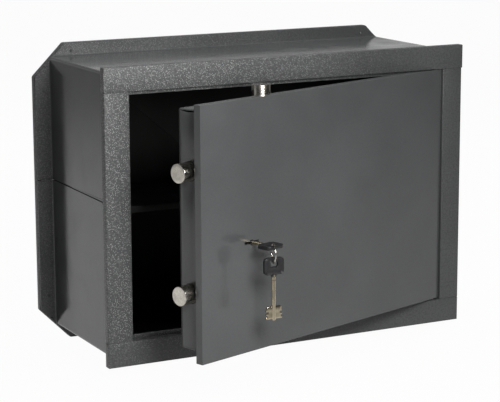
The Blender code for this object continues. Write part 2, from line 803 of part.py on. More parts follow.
def build_door_box():
    """The folded rim behind the plate, its back cover, and the posts and screws that hold it."""
    rim = door_block(
        "door_box",
        (BOX_LEFT, BOX_FRONT, BOX_BOTTOM),
        (BOX_RIGHT, COVER_FRONT - SEAT_GAP, BOX_TOP),
        satin(),
    )
    hollow = door_block(
        "door_box_hollow",
        (BOX_LEFT + BOX_SHEET, BOX_FRONT - OVERRUN, BOX_BOTTOM + BOX_SHEET),
        (BOX_RIGHT - BOX_SHEET, BOX_REAR + OVERRUN, BOX_TOP - BOX_SHEET),
        None,
    )
    cut(rim, hollow)
    bore = BOLT_RADIUS + BOLT_CLEARANCE
    for side, level in (("upper", UPPER_BOLT_HEIGHT), ("lower", LOWER_BOLT_HEIGHT)):
        place = in_door(BOX_LEFT, BOLT_SETBACK, level)
        cut(rim, rod_cutter(f"box_{side}_bolt_hole", bore, 2 * OVERRUN, DOOR, place, "x"))
    place = in_door(TOP_BOLT_X, BOLT_SETBACK, BOX_TOP)
    cut(rim, rod_cutter("box_top_bolt_hole", bore, 2 * OVERRUN, DOOR, place, "z"))
    cover = door_block(
        "door_back_cover",
        (BOX_LEFT, COVER_FRONT, BOX_BOTTOM),
        (BOX_RIGHT, BOX_REAR, BOX_TOP),
        dark_sheet(),
    )
    screw = screw_profile(
        COVER_SCREW_RADIUS, COVER_SCREW_LENGTH, SCREW_HEAD_RADIUS, SCREW_HEAD_HEIGHT
    )
    hole = COVER_SCREW_RADIUS + SCREW_CLEARANCE
    for corner, x, z in post_places():
        post_end = COVER_FRONT - SEAT_GAP
        post = turned(
            f"cover_post_{corner}",
            rod_profile(POST_RADIUS, post_end - BOX_FRONT),
            zinc(),
            DOOR,
            in_door(x, BOX_FRONT, z),
            "y",
            SMALL_ROUND_STEPS,
        )
        turned(
            f"cover_screw_{corner}",
            screw,
            zinc(),
            DOOR,
            in_door(x, BOX_REAR + SEAT_GAP, z),
            "y",
            SMALL_ROUND_STEPS,
        )
        bore_end = in_door(x, post_end, z)
        cut(
            post,
            rod_cutter(f"post_bore_{corner}", hole, 2 * POST_BORE_DEPTH, DOOR, bore_end, "y"),
        )
        cut(cover, rod_cutter(f"cover_hole_{corner}", hole, 2 * OVERRUN, DOOR, bore_end, "y"))


def build_guides():
    """Angle brackets on the plate's back that the bolts slide through."""
    bore = BOLT_RADIUS + BOLT_CLEARANCE
    left = PLATE_LEFT + SIDE_GUIDE_DISTANCE
    bottom = LOWER_BOLT_HEIGHT - GUIDE_END_MARGIN
    top = UPPER_BOLT_HEIGHT + GUIDE_END_MARGIN
    side = door_block(
        "side_bolt_guide",
        (left, BOX_FRONT, bottom),
        (left + GUIDE_THICKNESS, BOX_FRONT + GUIDE_HEIGHT, top),
        zinc(),
    )
    foot = door_block(
        "side_guide_foot",
        (left - GUIDE_FOOT, BOX_FRONT, bottom),
        (left + GUIDE_THICKNESS, BOX_FRONT + GUIDE_THICKNESS, top),
        None,
    )
    join(side, foot)
    for name, level in (("upper", UPPER_BOLT_HEIGHT), ("lower", LOWER_BOLT_HEIGHT)):
        place = in_door(left, BOLT_SETBACK, level)
        cut(side, rod_cutter(f"guide_{name}_hole", bore, 4 * OVERRUN, DOOR, place, "x"))
    level = BOX_TOP - TOP_GUIDE_DISTANCE
    half = BOLT_RADIUS + GUIDE_END_MARGIN / 2
    above = door_block(
        "top_bolt_guide",
        (TOP_BOLT_X - half, BOX_FRONT, level - GUIDE_THICKNESS),
        (TOP_BOLT_X + half, BOX_FRONT + GUIDE_HEIGHT, level),
        zinc(),
    )
    top_foot = door_block(
        "top_guide_foot",
        (TOP_BOLT_X - half, BOX_FRONT, level - GUIDE_THICKNESS),
        (TOP_BOLT_X + half, BOX_FRONT + GUIDE_THICKNESS, level + GUIDE_FOOT),
        None,
    )
    join(above, top_foot)
    place = in_door(TOP_BOLT_X, BOLT_SETBACK, level)
    cut(above, rod_cutter("top_guide_hole", bore, 4 * OVERRUN, DOOR, place, "z"))


def build_side_bolts():
    """Two bolts on one upright bar, the link to the bell crank and the lock's tongue."""
    bolt_profile = rod_profile(BOLT_RADIUS, SIDE_BOLT_LENGTH, BOLT_CHAMFER)
    bar_front = BOLT_SETBACK - BAR_WIDTH / 2
    bar = door_block(
        "bolt_bar",
        (BAR_LEFT, bar_front, LOWER_BOLT_HEIGHT - BAR_END_MARGIN),
        (BAR_RIGHT, bar_front + BAR_WIDTH, UPPER_BOLT_HEIGHT + BAR_END_MARGIN),
        zinc(),
        SIDE_BOLTS,
    )
    screw = screw_profile(
        BAR_SCREW_RADIUS, BAR_SCREW_LENGTH, BAR_SCREW_HEAD_RADIUS, BAR_SCREW_HEAD_HEIGHT
    )
    hole = BAR_SCREW_RADIUS + SCREW_CLEARANCE
    hole_length = 2 * (BAR_SCREW_LENGTH + OVERRUN)
    for name, level in (("upper", UPPER_BOLT_HEIGHT), ("lower", LOWER_BOLT_HEIGHT)):
        bolt = turned(
            f"side_bolt_{name}",
            bolt_profile,
            nickel(),
            SIDE_BOLTS,
            in_door(SIDE_BOLT_TIP, BOLT_SETBACK, level),
            "x",
        )
        seat = in_door(BAR_RIGHT, BOLT_SETBACK, level)
        cut(bolt, rod_cutter(f"bolt_bore_{name}", hole, hole_length, SIDE_BOLTS, seat, "x"))
        cut(bar, rod_cutter(f"bar_hole_{name}", hole, hole_length, SIDE_BOLTS, seat, "x"))
        turned(
            f"bolt_bar_screw_{name}",
            screw,
            zinc(),
            SIDE_BOLTS,
            in_door(BAR_RIGHT + SEAT_GAP, BOLT_SETBACK, level),
            "x",
            SMALL_ROUND_STEPS,
        )
    build_link()
    build_tongue()


def build_link():
    """The plate that joins the bar to the crank's upper pin, which slides in its upright slot."""
    thrown = CRANK_ARM * math.sin(CRANK_HALF_SWING)
    pin_x = CRANK_X - thrown
    pin_level = CRANK_HEIGHT + CRANK_ARM * math.cos(CRANK_HALF_SWING)
    rear = CRANK_SETBACK - LINK_CRANK_GAP
    right = pin_x + CRANK_PIN_RADIUS + LINK_OVERLAP
    link = door_block(
        "bar_link",
        (BAR_RIGHT + SEAT_GAP, rear - LINK_THICKNESS, pin_level - LINK_HEIGHT / 2),
        (right, rear, pin_level + LINK_HEIGHT / 2),
        zinc(),
        SIDE_BOLTS,
    )
    half = CRANK_PIN_RADIUS + SLOT_CLEARANCE
    slot = door_block(
        "bar_link_slot",
        (pin_x - half, rear - LINK_THICKNESS - OVERRUN, pin_level - half - SLOT_PLAY),
        (pin_x + half, rear + OVERRUN, pin_level + half + SLOT_PLAY),
        None,
        SIDE_BOLTS,
    )
    cut(link, slot)


def build_tongue():
    """The lock's tongue, which the key drives, with the stump that runs in the levers' windows."""
    bottom = KEYHOLE_HEIGHT + TONGUE_RISE
    tongue = door_block(
        "lock_tongue",
        (BAR_RIGHT + SEAT_GAP, TONGUE_SETBACK, bottom),
        (KEYHOLE_X + TONGUE_REACH, TONGUE_SETBACK + TONGUE_THICKNESS, bottom + TONGUE_HEIGHT),
        zinc(),
        SIDE_BOLTS,
    )
    stump_end = LEVER_SETBACK + LEVER_STACK
    stump_start = TONGUE_SETBACK + TONGUE_THICKNESS / 2
    stump = turned(
        "tongue_stump",
        rod_profile(STUMP_RADIUS, stump_end - stump_start),
        None,
        SIDE_BOLTS,
        in_door(STUMP_X, stump_start, STUMP_HEIGHT),
        "y",
        SMALL_ROUND_STEPS,
    )
    join(tongue, stump)


def build_top_bolt():
    """The upward bolt, and the rod whose foot the crank's other pin moves."""
    tip = PLATE_TOP + TOP_BOLT_REACH
    tail = tip - TOP_BOLT_LENGTH
    turned(
        "top_bolt",
        rod_profile(BOLT_RADIUS, TOP_BOLT_LENGTH, BOLT_CHAMFER),
        nickel(),
        TOP_BOLT,
        in_door(TOP_BOLT_X, BOLT_SETBACK, tail),
    )
    thrown = CRANK_ARM * math.sin(CRANK_HALF_SWING)
    pin_x = CRANK_X + CRANK_ARM * math.cos(CRANK_HALF_SWING)
    pin_level = CRANK_HEIGHT + thrown
    rear = CRANK_SETBACK - LINK_CRANK_GAP
    foot_top = pin_level + ROD_FOOT_RISE
    foot_half = ROD_FOOT_WIDTH / 2
    foot = door_block(
        "top_bolt_rod",
        (TOP_BOLT_X - foot_half, rear - LINK_THICKNESS, pin_level - ROD_FOOT_DROP),
        (TOP_BOLT_X + foot_half, rear, foot_top),
        zinc(),
        TOP_BOLT,
    )
    rod_bottom = foot_top - ROD_FOOT_OVERLAP
    rod = turned(
        "top_bolt_rod_stem",
        rod_profile(ROD_RADIUS, tail - SEAT_GAP - rod_bottom),
        None,
        TOP_BOLT,
        in_door(TOP_BOLT_X, BOLT_SETBACK, rod_bottom),
        "z",
        SMALL_ROUND_STEPS,
    )
    half = CRANK_PIN_RADIUS + SLOT_CLEARANCE
    slot = door_block(
        "top_bolt_rod_slot",
        (pin_x - half - SLOT_PLAY, rear - LINK_THICKNESS - OVERRUN, pin_level - half),
        (pin_x + half + SLOT_PLAY, rear + OVERRUN, pin_level + half),
        None,
        TOP_BOLT,
    )
    join(foot, rod)
    cut(foot, slot)


def build_crank():
    """The bell crank in mid swing, with one arm up and one to the right, and its stud."""
    middle = CRANK_SETBACK + CRANK_THICKNESS / 2
    half = CRANK_WIDTH / 2
    outline = rounded(
        [
            (-half, -half),
            (CRANK_ARM + half, -half),
            (CRANK_ARM + half, half),
            (half, half),
            (half, CRANK_ARM + half),
            (-half, CRANK_ARM + half),
        ],
        half / 2,
    )
    crank = flat(
        "bell_crank", [outline], CRANK_THICKNESS, zinc(), CRANK, (0, middle - HINGE_Y, 0)
    )
    pin_front = CRANK_SETBACK - CRANK_PIN_LENGTH - HINGE_Y
    pin = rod_profile(CRANK_PIN_RADIUS, CRANK_PIN_LENGTH + CRANK_THICKNESS / 2)
    for name, place in (("upper", (0, pin_front, CRANK_ARM)), ("right", (CRANK_ARM, pin_front, 0))):
        join(
            crank,
            turned(f"crank_pin_{name}", pin, None, CRANK, place, "y", SMALL_ROUND_STEPS),
        )
    bore = CRANK_STUD_RADIUS + PIN_CLEARANCE
    place = (0, middle - HINGE_Y, 0)
    cut(crank, rod_cutter("crank_bore", bore, 2 * OVERRUN, CRANK, place, "y", ROUND_STEPS))
    shoulder = CRANK_SETBACK - SEAT_GAP - BOX_FRONT
    end = CRANK_SETBACK + CRANK_THICKNESS + CRANK_STUD_REST - BOX_FRONT
    profile = [
        (0, end),
        (CRANK_STUD_RADIUS, end),
        (CRANK_STUD_RADIUS, shoulder),
        (CRANK_SHOULDER_RADIUS, shoulder),
        (CRANK_SHOULDER_RADIUS, 0),
        (0, 0),
    ]
    turned(
        "crank_stud",
        profile,
        steel(),
        DOOR,
        in_door(CRANK_X, BOX_FRONT, CRANK_HEIGHT),
        "y",
    )


def build_lock_case():
    """The lock's open-backed case, its cover and the two screws that hold the cover."""
    left = KEYHOLE_X - CASE_LEFT_REACH
    right = KEYHOLE_X + CASE_RIGHT_REACH
    bottom = KEYHOLE_HEIGHT - CASE_BELOW
    top = KEYHOLE_HEIGHT + CASE_ABOVE
    case = door_block("lock_case", (left, BOX_FRONT, bottom), (right, CASE_REAR, top), steel())
    hollow = door_block(
        "lock_case_hollow",
        (left + CASE_SHEET, BOX_FRONT + CASE_SHEET, bottom + CASE_SHEET),
        (right - CASE_SHEET, CASE_REAR + OVERRUN, top - CASE_SHEET),
        None,
    )
    slot_bottom = KEYHOLE_HEIGHT + TONGUE_RISE - TONGUE_SLOT_GAP
    tongue_slot = door_block(
        "lock_case_tongue_slot",
        (left - OVERRUN, TONGUE_SETBACK - TONGUE_SLOT_GAP, slot_bottom),
        (
            left + OVERRUN,
            TONGUE_SETBACK + TONGUE_THICKNESS + TONGUE_SLOT_GAP,
            slot_bottom + TONGUE_HEIGHT + 2 * TONGUE_SLOT_GAP,
        ),
        None,
    )
    cut(case, hollow, tongue_slot)
    front = BOX_FRONT + CASE_SHEET / 2
    cut(case, *keyhole_cutter("case_keyhole", (KEYHOLE_X, front, KEYHOLE_HEIGHT), OVERRUN))
    cover = door_block(
        "lock_case_cover",
        (left, CASE_REAR + SEAT_GAP, bottom),
        (right, CASE_REAR + SEAT_GAP + CASE_COVER_THICKNESS, top),
        steel(),
    )
    hole = COVER_SCREW_RADIUS + SCREW_CLEARANCE
    screw = screw_profile(
        COVER_SCREW_RADIUS, CASE_SCREW_LENGTH, SCREW_HEAD_RADIUS, SCREW_HEAD_HEIGHT
    )
    head = CASE_REAR + CASE_COVER_THICKNESS + 2 * SEAT_GAP
    places = (
        ("left", left + CASE_SCREW_INSET, bottom + CASE_SCREW_INSET),
        ("right", right - CASE_SCREW_INSET, bottom + CASE_SCREW_INSET),
    )
    for side, x, z in places:
        boss = turned(
            f"case_boss_{side}",
            rod_profile(CASE_SCREW_INSET - SEAT_GAP, CASE_DEPTH - CASE_SHEET / 2),
            None,
            DOOR,
            in_door(x, BOX_FRONT + CASE_SHEET / 2, z),
            "y",
            SMALL_ROUND_STEPS,
        )
        join(case, boss)
        end = in_door(x, CASE_REAR, z)
        bore_length = 2 * (CASE_SCREW_LENGTH + OVERRUN / 2)
        cut(case, rod_cutter(f"boss_bore_{side}", hole, bore_length, DOOR, end, "y"))
        cut(cover, rod_cutter(f"case_cover_hole_{side}", hole, 2 * OVERRUN, DOOR, end, "y"))
        turned(
            f"case_screw_{side}",
            screw,
            zinc(),
            DOOR,
            in_door(x, head, z),
            "y",
            SMALL_ROUND_STEPS,
        )


def build_levers():
    """A stack of thin levers on one post, a spring above them, and windows for the stump."""
    post_x = KEYHOLE_X + LEVER_POST_REACH
    post_level = KEYHOLE_HEIGHT + LEVER_POST_RISE
    case_inner = BOX_FRONT + CASE_SHEET + SEAT_GAP
    turned(
        "lever_post",
        rod_profile(LEVER_POST_RADIUS, CASE_REAR - case_inner),
        steel(),
        DOOR,
        in_door(post_x, case_inner, post_level),
        "y",
        SMALL_ROUND_STEPS,
    )
    body = rounded(
        rectangle(
            -LEVER_LEFT_REACH - LEVER_POST_REACH,
            LEVER_BOTTOM_RISE - LEVER_POST_RISE,
            LEVER_RIGHT_REACH - LEVER_POST_REACH,
            LEVER_TOP_RISE - LEVER_POST_RISE,
        ),
        LEVER_CORNER,
    )
    travel_left = STUMP_OFFSET - LEVER_POST_REACH - STUMP_RADIUS - LEVER_WINDOW_MARGIN
    travel_right = travel_left + BOLT_TRAVEL + 2 * (STUMP_RADIUS + LEVER_WINDOW_MARGIN)
    stump_rise = STUMP_HEIGHT - post_level
    window = rectangle(
        travel_left,
        stump_rise - LEVER_WINDOW_BELOW,
        travel_right,
        stump_rise + LEVER_WINDOW_ABOVE,
    )
    for i in range(LEVER_COUNT):
        setback = LEVER_SETBACK + i * (LEVER_THICKNESS + LEVER_GAP) + LEVER_THICKNESS / 2
        place = (0, setback - HINGE_Y, 0)
        lever = flat(f"lever_{i + 1}", [body, window], LEVER_THICKNESS, brass(), LEVERS, place)
        belly = (-LEVER_POST_REACH, setback - HINGE_Y, -LEVER_POST_RISE)
        cut(
            lever,
            rod_cutter(f"belly_{i + 1}", LEVER_BELLY_RADIUS, OVERRUN, LEVERS, belly, "y"),
            rod_cutter(
                f"lever_bore_{i + 1}",
                LEVER_POST_RADIUS + PIN_CLEARANCE,
                OVERRUN,
                LEVERS,
                place,
                "y",
            ),
        )
    build_lever_spring()


def build_lever_spring():
    """A short coil that presses the levers down from the top of the case."""
    bottom = KEYHOLE_HEIGHT + LEVER_TOP_RISE + SEAT_GAP + SPRING_WIRE_RADIUS
    top = KEYHOLE_HEIGHT + CASE_ABOVE - CASE_SHEET - SEAT_GAP - SPRING_WIRE_RADIUS
    count = SPRING_TURNS * SPRING_POINTS_PER_TURN
    points = []
    for i in range(count + 1):
        angle = 2 * math.pi * i / SPRING_POINTS_PER_TURN
        x = SPRING_RADIUS * math.cos(angle)
        y = SPRING_RADIUS * math.sin(angle)
        points.append((x, y, (top - bottom) * i / count))
    place = in_door(KEYHOLE_X - SPRING_OFFSET, LEVER_SETBACK + LEVER_STACK / 2, bottom)
    tube("lever_spring", points, SPRING_WIRE_RADIUS, False, steel(), DOOR, place, 0)


def build_curtain():
    """The slotted disc that turns with the key, and the two prongs that its bit drives."""
    front = BOX_FRONT + CASE_SHEET + SEAT_GAP
    disc = turned(
        "lock_curtain",
        rod_profile(CURTAIN_RADIUS, CURTAIN_THICKNESS),
        brass(),
        KEY_AXIS,
        (0, front, 0),
        "y",
    )
    for side, sign in (("right", 1), ("left", -1)):
        across = sorted((sign * PRONG_INNER, sign * PRONG_OUTER))
        up = sorted((sign * PRONG_GAP, sign * (PRONG_GAP + PRONG_HEIGHT)))
        prong = block(
            f"curtain_prong_{side}",
            (across[0], front + CURTAIN_THICKNESS / 2, up[0]),
            (across[1], front + CURTAIN_THICKNESS + PRONG_LENGTH, up[1]),
            None,
            KEY_AXIS,
        )
        join(disc, prong)
    half_width, half_height = CURTAIN_SLOT_WIDTH / 2, CURTAIN_SLOT_HEIGHT / 2
    slot = block(
        "curtain_slot",
        (-half_width, front - OVERRUN, -half_height),
        (half_width, front + CURTAIN_THICKNESS + PRONG_LENGTH + OVERRUN, half_height),
        None,
        KEY_AXIS,
    )
    middle = rod_cutter(
        "curtain_middle",
        KEYHOLE_CENTRE_RADIUS,
        OVERRUN + CURTAIN_THICKNESS,
        KEY_AXIS,
        (0, front + CURTAIN_THICKNESS / 2, 0),
        "y",
    )
    cut(disc, slot, middle)


def build_key(prefix, parent):
    """A double-bitted key in the x-z plane, hanging down from the top of its bow at the origin."""
    hole_top = -BOW_STRIP
    hole = rounded(
        rectangle(
            -BOW_HOLE_WIDTH / 2, hole_top - BOW_HOLE_LENGTH, BOW_HOLE_WIDTH / 2, hole_top
        ),
        BOW_HOLE_CORNER,
    )
    half = BOW_WIDTH / 2
    body = rounded(rectangle(-half, -BOW_LENGTH, half, 0), BOW_CORNER)
    bow = flat(
        f"{prefix}_bow", [body, hole], BOW_THICKNESS, black_plastic(), parent, (0, 0, 0)
    )
    nose = flat(
        f"{prefix}_nose",
        [
            [
                (-NOSE_NARROW / 2, -BOW_LENGTH - NOSE_LENGTH),
                (NOSE_NARROW / 2, -BOW_LENGTH - NOSE_LENGTH),
                (NOSE_WIDE / 2, -BOW_LENGTH + NOSE_LENGTH),
                (-NOSE_WIDE / 2, -BOW_LENGTH + NOSE_LENGTH),
            ]
        ],
        BOW_THICKNESS - 2 * BOW_EDGE_ROUND,
        None,
        parent,
        (0, 0, 0),
    )
    round_edges(bow, BOW_EDGE_ROUND, 1)
    shank_top = -BOW_LENGTH - NOSE_LENGTH + SHANK_SOCKET
    socket_length = 2 * (SHANK_SOCKET + SHANK_SOCKET_GAP)
    socket = rod_cutter(
        f"{prefix}_socket",
        SHANK_RADIUS - SHANK_SOCKET_GAP,
        socket_length,
        parent,
        (0, 0, -BOW_LENGTH - NOSE_LENGTH),
        "z",
        SMALL_ROUND_STEPS,
    )
    join(bow, nose)
    cut(bow, socket)
    build_blade(prefix, parent, shank_top)


def build_blade(prefix, parent, shank_top):
    """The key's shank, thinned where the bow holds it, with its notched bit near the tip."""
    thin = SHANK_RADIUS - 2 * SHANK_SOCKET_GAP
    bow_end = -BOW_LENGTH - NOSE_LENGTH
    profile = [
        (0, shank_top),
        (thin, shank_top),
        (thin, bow_end - SHANK_SOCKET_GAP),
        (SHANK_RADIUS, bow_end - SHANK_SOCKET_GAP),
        (SHANK_RADIUS, -KEY_LENGTH),
        (0, -KEY_LENGTH),
    ]
    blade = turned(
        f"{prefix}_blade", profile, brass(), parent, (0, 0, 0), "z", SMALL_ROUND_STEPS
    )
    bit_bottom = -KEY_LENGTH + BIT_TIP
    bit = block(
        f"{prefix}_bit",
        (-BIT_WIDTH / 2, -BIT_THICKNESS / 2, bit_bottom),
        (BIT_WIDTH / 2, BIT_THICKNESS / 2, bit_bottom + BIT_LENGTH),
        None,
        parent,
    )
    join(blade, bit)
    for sign in (-1, 1):
        for i, depth in enumerate(NOTCH_DEPTHS):
            rise = bit_bottom + NOTCH_STEP * (i + 1 / 2)
            across = sorted((sign * (BIT_WIDTH / 2 - depth), sign * (BIT_WIDTH / 2 + OVERRUN)))
            notch = block(
                f"{prefix}_notch_{i}_{'left' if sign < 0 else 'right'}",
                (across[0], -OVERRUN, rise),
                (across[1], OVERRUN, rise + NOTCH_WIDTH),
                None,
                parent,
            )
            cut(blade, notch)


def build_ring():
    points = []
    for i in range(RING_STEPS):
        angle = 2 * math.pi * i / RING_STEPS
        points.append((RING_RADIUS * math.cos(angle), 0, RING_RADIUS * math.sin(angle)))
    tube("key_ring", points, RING_WIRE_RADIUS, True, nickel(), RING, (0, 0, 0), 2)


def smooth_round_pieces():
    """Shades every finished piece smooth and keeps its real edges sharp."""
    for piece in bpy.data.collections[ASSEMBLY].objects:
        if piece.type == "MESH" and piece.data.polygons:
            piece.data.shade_smooth()
            piece.data.set_sharp_from_angle(angle=math.radians(SHARP_EDGE_DEGREES))


make_collections()
DOOR_TURN = math.radians(DOOR_OPEN_DEGREES)
SAFE = add_empty("safe_front", None, (0, -DEPTH, -FRAME_HEIGHT / 2))
DOOR = add_empty("door_hinge_axis", SAFE, (HINGE_X, HINGE_Y, 0), (0, 0, DOOR_TURN))
SIDE_BOLTS = add_empty("side_bolt_slide", DOOR, (0, 0, 0))
TOP_BOLT = add_empty("top_bolt_slide", DOOR, (0, 0, 0))
CRANK = add_empty(
    "crank_axis", DOOR, in_door(CRANK_X, HINGE_Y, CRANK_HEIGHT), (0, -CRANK_HALF_SWING, 0)
)
LEVERS = add_empty(
    "lever_axis",
    DOOR,
    in_door(KEYHOLE_X + LEVER_POST_REACH, HINGE_Y, KEYHOLE_HEIGHT + LEVER_POST_RISE),
)
KEY_AXIS = add_empty("key_axis", DOOR, in_door(KEYHOLE_X, 0, KEYHOLE_HEIGHT))
LOCK_KEY = add_empty(
    "lock_key_withdrawal", KEY_AXIS, (0, -KEY_STAND_OUT, 0), (math.radians(90), 0, 0)
)
RING_TURN = math.radians(RING_TURN_DEGREES)
BOW_HOLE_OUT = KEY_STAND_OUT - BOW_STRIP - BOW_HOLE_LENGTH / 2
RING = add_empty(
    "key_ring_centre",
    KEY_AXIS,
    (
        -RING_SHIFT * math.sin(RING_TURN),
        -BOW_HOLE_OUT - RING_SHIFT * math.cos(RING_TURN),
        -RING_DROP,
    ),
    (0, 0, -RING_TURN - math.radians(90)),
)
SPARE = add_empty(
    "spare_key_hang",
    RING,
    (0, 0, -RING_RADIUS + RING_WIRE_RADIUS + SPARE_DROP_GAP + BOW_STRIP),
    (0, 0, RING_TURN + math.radians(90) - DOOR_TURN),
)

build_frame()
build_body()
build_rear_panel()
build_stop_lips()
build_shelf()
build_hinge()
build_door_plate()
build_door_box()
build_guides()
build_side_bolts()
build_top_bolt()
build_crank()
build_lock_case()
build_levers()
build_curtain()
build_key("lock_key", LOCK_KEY)
build_ring()
build_key("spare_key", SPARE)
smooth_round_pieces()
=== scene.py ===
"""A wall safe with its door ajar, dressed for the studio.

Run as a script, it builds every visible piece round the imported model, in metres and in the
model's own frame: +X to the right, +Y into the wall, +Z up. Each shape is worked out as whole
arrays of points, and each finish is made of shader nodes on object coordinates.
"""

import math

import bmesh
import bpy
import numpy as np
from bpy.props import FloatProperty, FloatVectorProperty, IntProperty, PointerProperty
from mathutils import Matrix, Vector
from mathutils.geometry import delaunay_2d_cdt


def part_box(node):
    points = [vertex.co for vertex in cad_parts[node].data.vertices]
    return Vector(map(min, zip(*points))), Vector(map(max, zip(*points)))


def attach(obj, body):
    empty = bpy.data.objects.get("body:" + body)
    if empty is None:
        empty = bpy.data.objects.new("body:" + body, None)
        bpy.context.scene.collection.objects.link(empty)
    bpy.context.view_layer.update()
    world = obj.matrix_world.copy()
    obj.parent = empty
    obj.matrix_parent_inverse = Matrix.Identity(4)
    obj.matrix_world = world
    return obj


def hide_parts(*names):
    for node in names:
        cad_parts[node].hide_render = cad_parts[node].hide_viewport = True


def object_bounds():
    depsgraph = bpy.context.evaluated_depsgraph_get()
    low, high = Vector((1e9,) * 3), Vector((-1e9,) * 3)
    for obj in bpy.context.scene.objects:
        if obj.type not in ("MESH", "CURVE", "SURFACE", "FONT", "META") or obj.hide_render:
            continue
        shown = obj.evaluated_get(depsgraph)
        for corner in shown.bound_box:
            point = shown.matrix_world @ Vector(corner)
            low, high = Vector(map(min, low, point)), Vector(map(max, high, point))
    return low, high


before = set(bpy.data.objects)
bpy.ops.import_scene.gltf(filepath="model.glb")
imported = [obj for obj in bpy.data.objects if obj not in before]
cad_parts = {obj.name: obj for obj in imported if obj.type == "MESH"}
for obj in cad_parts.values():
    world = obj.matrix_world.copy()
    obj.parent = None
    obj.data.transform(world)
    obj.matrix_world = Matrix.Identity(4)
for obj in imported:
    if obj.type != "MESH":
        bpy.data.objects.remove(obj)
CAD_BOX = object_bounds()

bl_info = {
    "name": "Wall safe",
    "version": (1, 0, 0),
    "blender": (4, 5, 0),
    "location": "3D View > Sidebar > Wall safe",
    "description": "Builds the visible pieces of a wall safe round its packed model",
    "category": "Add Mesh",
}

DOOR_OPEN = math.radians(18.93)
BODY_SHEET, DOOR_SHEET, SHELF_SHEET = 0.0020, 0.0015, 0.0015
SHEET_EDGE = 0.0003
BOLT_RADIUS, BOLT_HOLE, SCREW_CROWN = 0.0110, 0.0114, 0.0014

# A point on a turned shape's axis keeps this radius, and add_piece merges points nearer than MERGED
ON_AXIS, MERGED = 1e-7, 2e-7

# The axes of a slab's outline, then the one along its thickness
UPRIGHT, ENDWAYS, LEVEL = ("x", "z", "y"), ("y", "z", "x"), ("x", "y", "z")


# Shapes: each is a pair of points (n, 3) and a list of faces


def unit(vectors):
    return vectors / np.linalg.norm(vectors, axis=-1, keepdims=True)


def grid_faces(rows, columns, wrap_rows=False, wrap_columns=False):
    """Quads that join neighbours on a grid of points, from the points' row and column."""
    row = np.arange(rows if wrap_rows else rows - 1)[:, None]
    column = np.arange(columns if wrap_columns else columns - 1)[None, :]
    next_row = (row + 1) % rows
    next_column = (column + 1) % columns
    corners = [
        row * columns + column,
        row * columns + next_column,
        next_row * columns + next_column,
        next_row * columns + column,
    ]
    return np.stack(np.broadcast_arrays(*corners), axis=-1).reshape(-1, 4).tolist()


def gathered(*shapes):
    """Several shapes as one, their points in a row and their faces renumbered."""
    points, faces, start = [], [], 0
    for shape_points, shape_faces in shapes:
        points.append(shape_points)
        faces.extend([[start + i for i in face] for face in shape_faces])
        start += len(shape_points)
    return np.concatenate(points), faces


def loft(sections):
    """Closed sections carried along a path: row i of the grid is section i, and both ends close."""
    rows, columns = sections.shape[:2]
    faces = grid_faces(rows, columns, wrap_columns=True)
    last = (rows - 1) * columns
    faces.append(list(range(columns)))
    faces.append(list(range(last, last + columns)))
    return sections.reshape(-1, 3), faces


def around(steps):
    """Angles evenly round a circle, from zero."""
    return np.arange(steps) * 2 * math.pi / steps


def arc(start, end, steps):
    """Angles in degrees from start to end, in radians, both ends with them."""
    return np.radians(np.linspace(start, end, steps + 1))


def rounded(corners, radius, steps=6):
    """The outline through these corners, each an arc of the radius, tangent to both sides."""
    corners = np.asarray(corners, float)
    radius = np.broadcast_to(radius, len(corners))[:, None]
    before = unit(np.roll(corners, 1, axis=0) - corners)
    after = unit(np.roll(corners, -1, axis=0) - corners)
    cosine = np.clip(np.sum(before * after, axis=1, keepdims=True), -1, 1)
    half = np.arccos(cosine) / 2
    middle = unit(before + after)
    centre = corners + middle * radius / np.sin(half)
    first = corners + before * radius / np.tan(half) - centre
    last = corners + after * radius / np.tan(half) - centre
    share = np.linspace(0, 1, steps + 1)[None, :, None]
    chord = first[:, None] * (1 - share) + last[:, None] * share
    return (centre[:, None] + unit(chord) * radius[:, None]).reshape(-1, 2)


def rectangle(left, bottom, right, top):
    return np.array([(left, bottom), (right, bottom), (right, top), (left, top)], float)


def circle(x, y, radius, steps):
    angle = around(steps)
    return np.stack([x + radius * np.cos(angle), y + radius * np.sin(angle)], axis=1)


def counter_clockwise(outline):
    """The outline, turned round if its area by the shoelace sum is negative."""
    following = np.roll(outline, -1, axis=0)
    area = np.sum(outline[:, 0] * following[:, 1] - outline[:, 1] * following[:, 0])
    return outline if area > 0 else outline[::-1]


def offset(outline, distance):
    """Each point of a counter-clockwise outline moved outwards along the mitre of its two sides."""
    side = unit(np.roll(outline, -1, axis=0) - outline)
    normal = np.stack([side[:, 1], -side[:, 0]], axis=1)
    before = np.roll(normal, 1, axis=0)
    mitre = (before + normal) / (1 + np.sum(before * normal, axis=1, keepdims=True))
    return outline + mitre * distance


def inside(points, outline):
    """True where a ray to a point's right crosses an odd count of the outline's sides."""
    x, y = points[:, 0][:, None], points[:, 1][:, None]
    x0, y0 = outline[:, 0][None], outline[:, 1][None]
    x1, y1 = np.roll(outline[:, 0], -1)[None], np.roll(outline[:, 1], -1)[None]
    spans = (y0 > y) != (y1 > y)
    rise = np.where(spans, y1 - y0, 1)
    crossing = x0 + (y - y0) * (x1 - x0) / rise
    return np.sum(spans & (crossing > x), axis=1) % 2 == 1


def filled(loops):
    """Triangles between the first loop and the others, which stay open as holes."""
    points = np.concatenate(loops)
    starts = np.cumsum([0] + [len(loop) for loop in loops])
    edges = [
        np.stack([np.arange(a, b), np.roll(np.arange(a, b), -1)], axis=1)
        for a, b in zip(starts[:-1], starts[1:])
    ]
    pairs = np.concatenate(edges).tolist()
    made = delaunay_2d_cdt([Vector(p) for p in points], pairs, [], 1, 1e-9)
    if len(made[0]) != len(points):
        raise ValueError("an outline crosses itself or another")
    triangles = np.array(made[2])
    centres = points[triangles].mean(axis=1)
    keep = inside(centres, loops[0])
    for hole in loops[1:]:
        keep &= ~inside(centres, hole)
    return triangles[keep]


